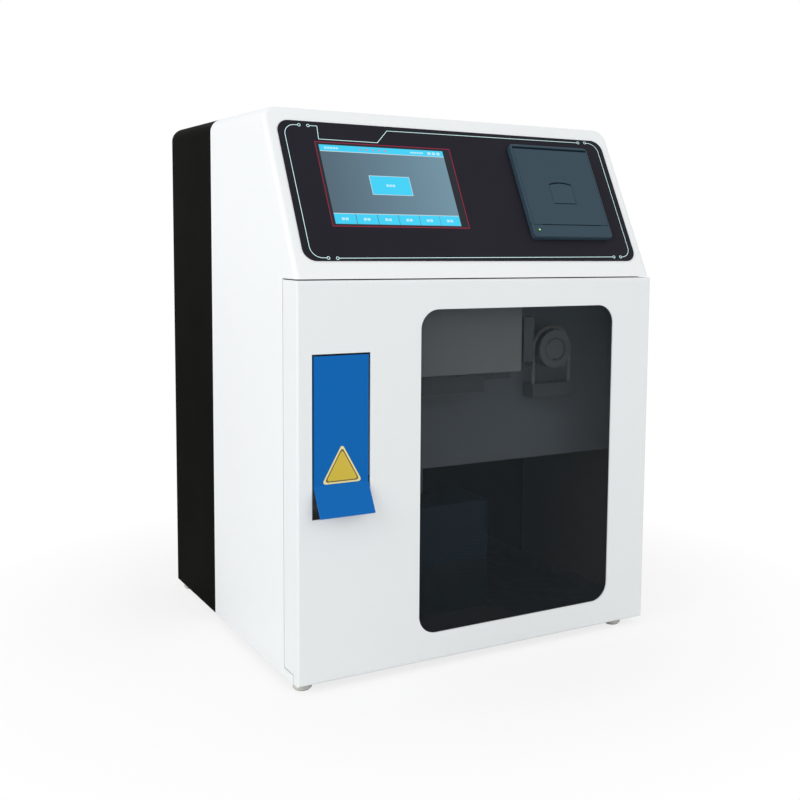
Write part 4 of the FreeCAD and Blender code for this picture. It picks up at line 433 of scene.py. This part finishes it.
# Display: glass over a colour screen, with a thin dark red line round it and a black strip at its right.
# The picture has a bar above, six keys below and one key in the middle, with plain marks on them.
DISPLAY_FACE = 0.8
LINE_LEFT, LINE_BOTTOM, LINE_RIGHT, LINE_TOP = 39.75, 46.2, 162.55, 121.65
PICTURE_LEFT, PICTURE_RIGHT = 42.0, 155.6
PICTURE = (PICTURE_LEFT, 47.2, PICTURE_RIGHT, 119.3)
BAR_LEFT, BAR_BOTTOM, BAR_RIGHT = 42.3, 113.6, 155.3
BAR = (BAR_LEFT, BAR_BOTTOM, BAR_RIGHT, 119.1)
MIDDLE_KEY = (80.3, 74.5, 117.1, 92.3)
KEY_COUNT, KEY_WIDTH, KEY_PITCH = 6, 18.3, 18.9
KEY_BOTTOM, KEY_TOP = 47.5, 56.4
KEY_LEFTS = [BAR_LEFT + step * KEY_PITCH for step in range(KEY_COUNT)]
EDGE, RULE, LAYER = 0.5, 0.6, 0.02


def display_border():
    """The frame's outer edge is the red line, and the rest of it is black like the glass."""
    border = Finish("display_border")
    where = border.split(border.place())
    across = where["X"] * 1000 - shell_low.x * 1000
    up = (where["Z"] - SLOPE.translation.z) * (1000 / math.cos(TILT))
    line = (across < LINE_LEFT) | (across > LINE_RIGHT) | (up < LINE_BOTTOM) | (up > LINE_TOP)
    grain = border.noise(1400)
    return border.paint({
        "Base Color": border.mix(line, colour(34, 38, 44), colour(150, 36, 66)),
        "Roughness": 0.3 + line * 0.2 + (grain - 0.5) * 0.08, "Specular IOR Level": 0.15})


def lit_field(name, left_tone, right_tone, glow=0.85):
    """A part of the lit picture, whose colour changes from left to right."""
    field = Finish(name)
    across = field.split(field.place())["X"] * 1000 - shell_low.x * 1000
    shade = field.mix(field.node("MapRange", {}, {0: across, 1: PICTURE_LEFT, 2: PICTURE_RIGHT}),
                      left_tone, right_tone)
    dots = field.noise(2600)
    return field.paint({
        "Base Color": (0.006, 0.007, 0.009, 1), "Roughness": 0.16 + (dots - 0.5) * 0.04,
        "Specular IOR Level": 0.12,
        "Emission Color": field.mix(dots * 0.12, shade, (0, 0, 0, 1)), "Emission Strength": glow})


def screen_part(name, fields, finish, level):
    """Thin rectangles on the glass, whose faces are at a level above it."""
    mesh = bmesh.new()
    for field in fields:
        slab(mesh, *field, DISPLAY_FACE + level - LAYER, DISPLAY_FACE + level)
    piece(name, mesh, SLOPE, finish, "cabinet")


def rim(left, bottom, right, top):
    """Four thin bars inside the edge of a rectangle."""
    return [(left, bottom, right, bottom + EDGE), (left, top - EDGE, right, top),
            (left, bottom + EDGE, left + EDGE, top - EDGE), (right - EDGE, bottom + EDGE, right, top - EDGE)]


def marks(left, bottom, count, wide, high, pitch):
    """A row of plain marks."""
    return [(left + step * pitch, bottom, left + step * pitch + wide, bottom + high) for step in range(count)]


screen_part("screen_ground", [PICTURE],
            lit_field("screen_ground", colour(90, 113, 129), colour(124, 160, 178)), 0.03)
screen_part("screen_keys", [BAR, MIDDLE_KEY]
            + [(left, KEY_BOTTOM, left + KEY_WIDTH, KEY_TOP) for left in KEY_LEFTS],
            lit_field("screen_blue", colour(62, 212, 250), colour(66, 216, 254), 1.0), 0.05)
screen_part("screen_edges", rim(*MIDDLE_KEY) + [(BAR_LEFT, KEY_TOP, BAR_RIGHT, KEY_TOP + RULE),
                                                (BAR_LEFT, BAR_BOTTOM - RULE, BAR_RIGHT, BAR_BOTTOM)],
            lit_field("screen_pale", colour(214, 238, 246), colour(200, 230, 242), 0.9), 0.07)
screen_part("screen_marks", sum((marks(left + 6, 50.7, 2, 2.5, 2.3, 3.2) for left in KEY_LEFTS), [])
            + marks(94.4, 82.3, 3, 2.2, 2.2, 2.8) + marks(46.5, 115.4, 5, 1.9, 1.8, 2.5)
            + marks(124.0, 115.5, 6, 1.6, 1.5, 2.1) + marks(140.5, 114.9, 3, 3.0, 2.6, 4.3),
            pale_ink("mark_ink", colour(176, 226, 246), 0.2), 0.06)
screen_part("screen_dots", marks(77.5, 115.6, 5, 1.5, 1.5, 5.6),
            pale_ink("dot_ink", colour(206, 92, 128), 0.2), 0.06)
dress(display_border(), "display_frame")
dress(lit_field("display_glass", colour(48, 52, 60), colour(54, 58, 68), 0.9), "touch_display")

# Printer: a slate moulding in the panel, with a drop-down paper door and a press-in latch in it.
# The mouldings are satin, with soft tone changes at random.
dress(moulding("slate_moulding", colour(56, 76, 89), 0.45, 0.00004, 0.5, 0.12),
      "printer_housing", "paper_door")
dress(moulding("latch_moulding", colour(58, 78, 91), 0.42, 0.00003, 0.5, 0.12), "printer_latch")
PAPER_LAYERS = 3000
CORE_RADIUS, GLOW_RADIUS, RIM_RADIUS = 0.2, 0.8, 1.1


def platen_rubber():
    rubber = Finish("platen_rubber")
    grain, tone = rubber.noise(1100, 3), colour(38, 38, 38)
    return rubber.paint({
        "Base Color": rubber.mix(grain * 0.4, tone, deeper(tone, 0.7)),
        "Roughness": 0.7 + (grain - 0.5) * 0.15, "Normal": rubber.bump(grain, 0.00003)})


dress(platen_rubber(), "platen_roller")


def thermal_paper():
    """Wound paper: the ends of the roll show its layers, so many to the metre."""
    paper = Finish("thermal_paper")
    out = paper.length(paper.vector("MULTIPLY", paper.from_middle("paper_roll"), (0, 1, 1)))
    layers = paper.node("Math", {"operation": "FRACT"}, {0: out * PAPER_LAYERS})
    fibre = paper.noise(900, 3)
    return paper.paint({
        "Base Color": paper.mix(layers * 0.25 + fibre * 0.1, colour(240, 240, 236), colour(206, 205, 200)),
        "Roughness": 0.7 + (fibre - 0.5) * 0.1})


dress(thermal_paper(), "paper_roll")


def lamp_lens():
    """Green lens with a pale core and a dark rim, by the distance from its tilted axis."""
    lens = Finish("lamp_lens")
    axis = (0, -math.cos(TILT), math.sin(TILT))
    out = lens.length(lens.vector("CROSS_PRODUCT", lens.from_middle("printer_led"), axis)) * 1000
    wavy = out + (lens.noise(900) - 0.5) * 0.2
    core = lens.node("MapRange", {}, {0: wavy, 1: CORE_RADIUS, 2: GLOW_RADIUS, 3: 1.0, 4: 0.0})
    edge = out > RIM_RADIUS
    glow = lens.mix(core, colour(52, 130, 62), colour(206, 255, 170))
    return lens.paint({
        "Base Color": lens.mix(edge, glow, colour(22, 50, 28)), "Roughness": 0.18 + edge * 0.3,
        "Emission Color": lens.mix(edge, glow, (0, 0, 0, 1)), "Emission Strength": 0.5})


dress(lamp_lens(), "printer_led")

# Sampler flap: a folded blue plate on a pin, with a lip to lift it by.
# The sign on it is replaced by a plain yellow rounded triangle, a thin sticker with a pale edge.
dress(powder_coat("blue_powder_coat", colour(4, 104, 184), 0.45, 0.000015, 0.1).owner, "sampler_flap")


MARK = [(19.9, 157.9), (54.0, 157.9), (36.9, 188.7)]
MARK_MIDDLE = sum((Vector(corner) for corner in MARK), Vector((0, 0))) / 3
MARK_ROUNDING = 3.6


def sticker(share, under, over):
    """The marker's rounded triangle at a share of its size, between two levels over the flap's face."""
    flat = bmesh.new()
    corners = [MARK_MIDDLE + (Vector(corner) - MARK_MIDDLE) * share for corner in MARK]
    flat.faces.new([flat.verts.new((x, z, under)) for x, z in corners])
    bmesh.ops.bevel(flat, geom=list(flat.verts), offset=MARK_ROUNDING * share, offset_type="OFFSET",
                    affect="VERTICES", segments=7, profile=0.5, material=-1)
    grown = bmesh.ops.extrude_face_region(flat, geom=list(flat.faces))
    raised = [part for part in grown["geom"] if isinstance(part, bmesh.types.BMVert)]
    bmesh.ops.translate(flat, vec=(0, 0, over - under), verts=raised)
    return flat


for name, share, tone, under, over in (("marker_edge", 1.0, colour(243, 230, 160), -0.02, 0.12),
                                       ("marker_line", 0.87, colour(112, 92, 36), 0.1, 0.14),
                                       ("marker_field", 0.78, colour(216, 190, 58), 0.1, 0.16)):
    piece(name, sticker(share, under, over), CABINET @ FRONT, pale_ink(name, tone), "flap")

# Module panel and pack shelf: sheet behind the window, in a plain satin paint, pale for the panel and umber
# for the shelf, the umber being painted shade.
# The six electrodes stand before it under a pale pull-off cover, pressed together by an aluminium bar.
CAP_HEIGHT = 271
dress(powder_coat("panel_paint", colour(188, 198, 208), 0.5, 0.000006, 0.3).owner, "module_panel")
# The shelf's umber is painted shade under the panel.
dress(powder_coat("shelf_painted_shade", colour(104, 96, 90), 0.5, 0.00001, 0.3).owner, "pack_shelf")
dress(moulding("cover_moulding", colour(240, 248, 250), 0.4, 0.00002), "electrode_cover")


def brushed_aluminium():
    metal = Finish("brushed_aluminium")
    brushed = metal.noise(240, 3, (1, 1, 12))
    return metal.paint({
        "Base Color": metal.mix(brushed * 0.5, colour(160, 168, 175), colour(132, 140, 147)),
        "Metallic": 0.85, "Roughness": 0.34 + (brushed - 0.5) * 0.2, "Normal": metal.bump(brushed, 0.00001)})


dress(brushed_aluminium(), "electrode_clamp")


def clear_acrylic():
    """Electrode body: clear block with a faint cloud through it, and a coloured band in its cap."""
    block = Finish("clear_acrylic")
    cap, cloud = block.split(block.place())["Z"] * 1000 > CAP_HEIGHT, block.noise(140, 3)
    return block.paint({
        "Base Color": block.mix(cap, block.mix(cloud, colour(214, 224, 228), colour(180, 196, 202)),
                                colour(58, 92, 140)),
        "Roughness": 0.12 + cap * 0.3 + cloud * 0.08, "Alpha": 0.55 + cap * 0.45})


dress(clear_acrylic(), *[kind + "_electrode" for kind in
                         ("reference", "potassium", "sodium", "chloride", "calcium", "ph")])

# Pump: three rollers in a nylon rotor press the silicone tube, and a black square motor turns it.
# A thin printed arrow on the rotor's cap shows the way it turns.
dress(moulding("rotor_cap_moulding", colour(180, 189, 196), 0.36), "rotor_cap")
CAP_FACE = 30
ARROW_RADIUS, ARROW_WIDTH, ARROW_UNDER, ARROW_OVER, ARROW_TIP = 9.4, 0.7, -0.02, 0.05, 1.7
arrow = bmesh.new()
sweep(arrow, (0, 0), ARROW_RADIUS, 150, -245, ARROW_WIDTH, ARROW_UNDER, ARROW_OVER, 40)
tip_place = Matrix.Translation((-ARROW_TIP, 0.05 - ARROW_RADIUS, (ARROW_UNDER + ARROW_OVER) / 2))
bmesh.ops.create_cone(arrow, cap_ends=True, segments=3, radius1=ARROW_TIP, radius2=ARROW_TIP,
                      depth=ARROW_OVER - ARROW_UNDER, matrix=tip_place @ Matrix.Rotation(math.pi, 4, "Z"))
piece("rotor_arrow", arrow, CABINET @ Matrix.Translation((PUMP_ACROSS, CAP_FACE, PUMP_HEIGHT)) @ FRONT,
      pale_ink("arrow_ink", colour(52, 54, 58)), "rotor")
dress(moulding("motor_enamel", colour(40, 40, 43), 0.35), "pump_motor")


def silicone():
    """Milky tube: slightly see-through, with a soft sheen."""
    tube = Finish("silicone_tube")
    milk = tube.noise(60, 3)
    return tube.paint({
        "Base Color": tube.mix(milk, colour(226, 226, 220), colour(204, 205, 200)),
        "Roughness": 0.32 + milk * 0.12, "Alpha": 0.82, "Coat Weight": 0.1 + milk * 0.1})


dress(silicone(), "pump_tube", "sample_tube", "reagent_tubes")
dress(moulding("sensor_moulding", colour(116, 34, 36), 0.4), "liquid_sensor")

# Reagent pack: a sealed blue box with a darker lower half, on the shelf under the panel.
# Above it stand the connector, the tubes and the grey valves.
PACK_DARK_HEIGHT = 62


def pack_card():
    card = Finish("pack_card")
    fibre, low = card.noise(260, 4), card.split(card.place())["Z"] * 1000 < PACK_DARK_HEIGHT
    return card.paint({
        "Base Color": card.mix(low, card.mix(fibre * 0.4, colour(10, 58, 90), colour(8, 48, 76)),
                               card.mix(fibre * 0.4, colour(7, 38, 56), colour(6, 31, 47))),
        "Roughness": 0.38 + (fibre - 0.5) * 0.15, "Normal": card.bump(fibre, 0.00003)})


dress(pack_card(), "reagent_pack")
dress(moulding("valve_moulding", colour(128, 133, 138), 0.42), "valve_manifold")

# Electronics: a green board behind the inner wall, with its tracks printed and black chips soldered on.
# It stands on brass posts. The board's layers are told apart by how deep they lie from its chips' tops.
CHIP_DEPTH, POST_DEPTH = 3.15, 4.85


def circuit_board():
    board = Finish("circuit_board")
    deep = (board.split(board.place())["X"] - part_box("main_board")[0].x) * 1000
    lanes = board.node("TexBrick", {}, {"Vector": board.place(), "Scale": 90.0, "Mortar Size": 0.03,
                                        "Color1": colour(16, 92, 52), "Color2": colour(12, 78, 44),
                                        "Mortar": colour(58, 150, 88)})
    chips, posts = deep < CHIP_DEPTH, deep > POST_DEPTH
    return board.paint({
        "Base Color": board.mix(posts, board.mix(chips, lanes, colour(26, 26, 28)), colour(200, 168, 90)),
        "Metallic": posts * 0.9, "Roughness": 0.36 + chips * 0.2})


dress(circuit_board(), "main_board")

# Back of the analyzer: rocker switch and brass earth post beside the moulded inlet and the steel port.
# The port is plated, with a dark insert inside its shell.
INSERT_HALF_WIDTH, INSERT_HALF_HEIGHT = 0.0075, 0.0031
dress(moulding("rocker_moulding", colour(28, 28, 29), 0.28, 0.00001), "rocker_switch")


def port_shell():
    port = Finish("port_shell")
    out = port.split(port.vector("ABSOLUTE", port.from_middle("serial_port")))
    insert = (out["X"] < INSERT_HALF_WIDTH) & (out["Z"] < INSERT_HALF_HEIGHT)
    grain = port.noise(500, 3)
    return port.paint({
        "Base Color": port.mix(insert, port.mix(grain * 0.6, colour(196, 198, 200), colour(160, 162, 166)),
                               colour(26, 28, 34)),
        "Metallic": 0.9 - insert * 0.9, "Roughness": 0.34 + (grain - 0.5) * 0.2 + insert * 0.2,
        "Normal": port.bump(grain, 0.00002)})


dress(port_shell(), "serial_port")


def brass():
    metal = Finish("brass")
    tarnish = metal.noise(150, 4)
    return metal.paint({
        "Base Color": metal.mix(tarnish * 0.7, colour(226, 192, 118), colour(176, 140, 78)),
        "Metallic": 1.0, "Roughness": 0.26 + tarnish * 0.18})


dress(brass(), "ground_post")

# Studio: a pale floor, a white surround that shows to the camera and in gloss, and soft lamps.
# The world's level lights the object, and its full white is only seen.
scene = bpy.context.scene
scene.view_settings.view_transform = "Standard"
ROOM_LEVEL = 0.62
SHADOW_REACH, FLOOR_FADE, FLOOR_RADIUS = 0.25, 0.45, 6


def white_surround():
    surround = Finish("surround", bpy.data.worlds)
    rays = surround.node("LightPath")
    seen = rays["Is Camera Ray"] | rays["Is Transmission Ray"] | rays["Is Glossy Ray"]
    surround.paint({"Color": (1, 1, 1, 1), "Strength": ROOM_LEVEL + seen * (1 - ROOM_LEVEL)})
    return surround.owner


scene.world = white_surround()


def pale_floor():
    """A white floor that fades into the surround, and keeps the object's shadow where it stands."""
    floor = Finish("pale_floor")
    away = floor.length(floor.place())
    far = floor.node("MapRange", {}, {0: away, 1: SHADOW_REACH, 2: FLOOR_FADE, 3: 0.78, 4: 1.0})
    rays = floor.node("LightPath")
    white = floor.node("Emission", {}, {"Color": (1, 1, 1, 1), "Strength": 1.0})
    floor.paint({"Base Color": (0.9, 0.9, 0.9, 1), "Roughness": 0.8})
    both = floor.node("MixShader", {}, {0: far * rays["Is Camera Ray"], 2: white})
    floor.tree.links.new(floor.shader.outputs[0], both.maker.inputs[1])
    floor.tree.links.new(both.maker.outputs[0], floor.tree.nodes["Material Output"].inputs[0])
    return floor.owner


ground = bmesh.new()
bmesh.ops.create_circle(ground, cap_ends=True, segments=64, radius=FLOOR_RADIUS)
placed("floor", ground, pale_floor())


def soft_lamp(name, spot, power, width):
    light = bpy.data.lights.new(name, "AREA")
    light.energy, light.size = power, width
    lamp = bpy.data.objects.new(name, light)
    lamp.location = spot
    lamp.rotation_euler = (Vector((0, 0, 0.2)) - Vector(spot)).to_track_quat("-Z", "Y").to_euler()
    scene.collection.objects.link(lamp)


soft_lamp("key_lamp", (-2.0, -0.7, 1.3), power=20, width=1.6)
soft_lamp("front_lamp", (0.9, -2.2, 1.3), power=9, width=1.6)

# Camera: where the photograph was taken, front left and a little above, with its picture shifted as there.
# Its angles are in radians, from straight back, the level and upright.
YAW, PITCH, ROLL = 0.5457, -0.0984, 0.0129
EYE = (-0.48465, -0.93918, 0.35475)
ahead = Vector((math.sin(YAW) * math.cos(PITCH), math.cos(YAW) * math.cos(PITCH), math.sin(PITCH)))
level = Vector((math.cos(YAW), -math.sin(YAW), 0))
above = level.cross(ahead)
right = math.cos(ROLL) * level + math.sin(ROLL) * above
upward = math.cos(ROLL) * above - math.sin(ROLL) * level
view = bpy.data.cameras.new("camera")
view.lens, view.sensor_width = 50.02, 36
view.shift_x, view.shift_y = -0.0955, -0.0666
camera = bpy.data.objects.new("camera", view)
camera.matrix_world = Matrix.Translation(EYE) @ Matrix((right, upward, -ahead)).transposed().to_4x4()
scene.collection.objects.link(camera)
scene.camera = camera
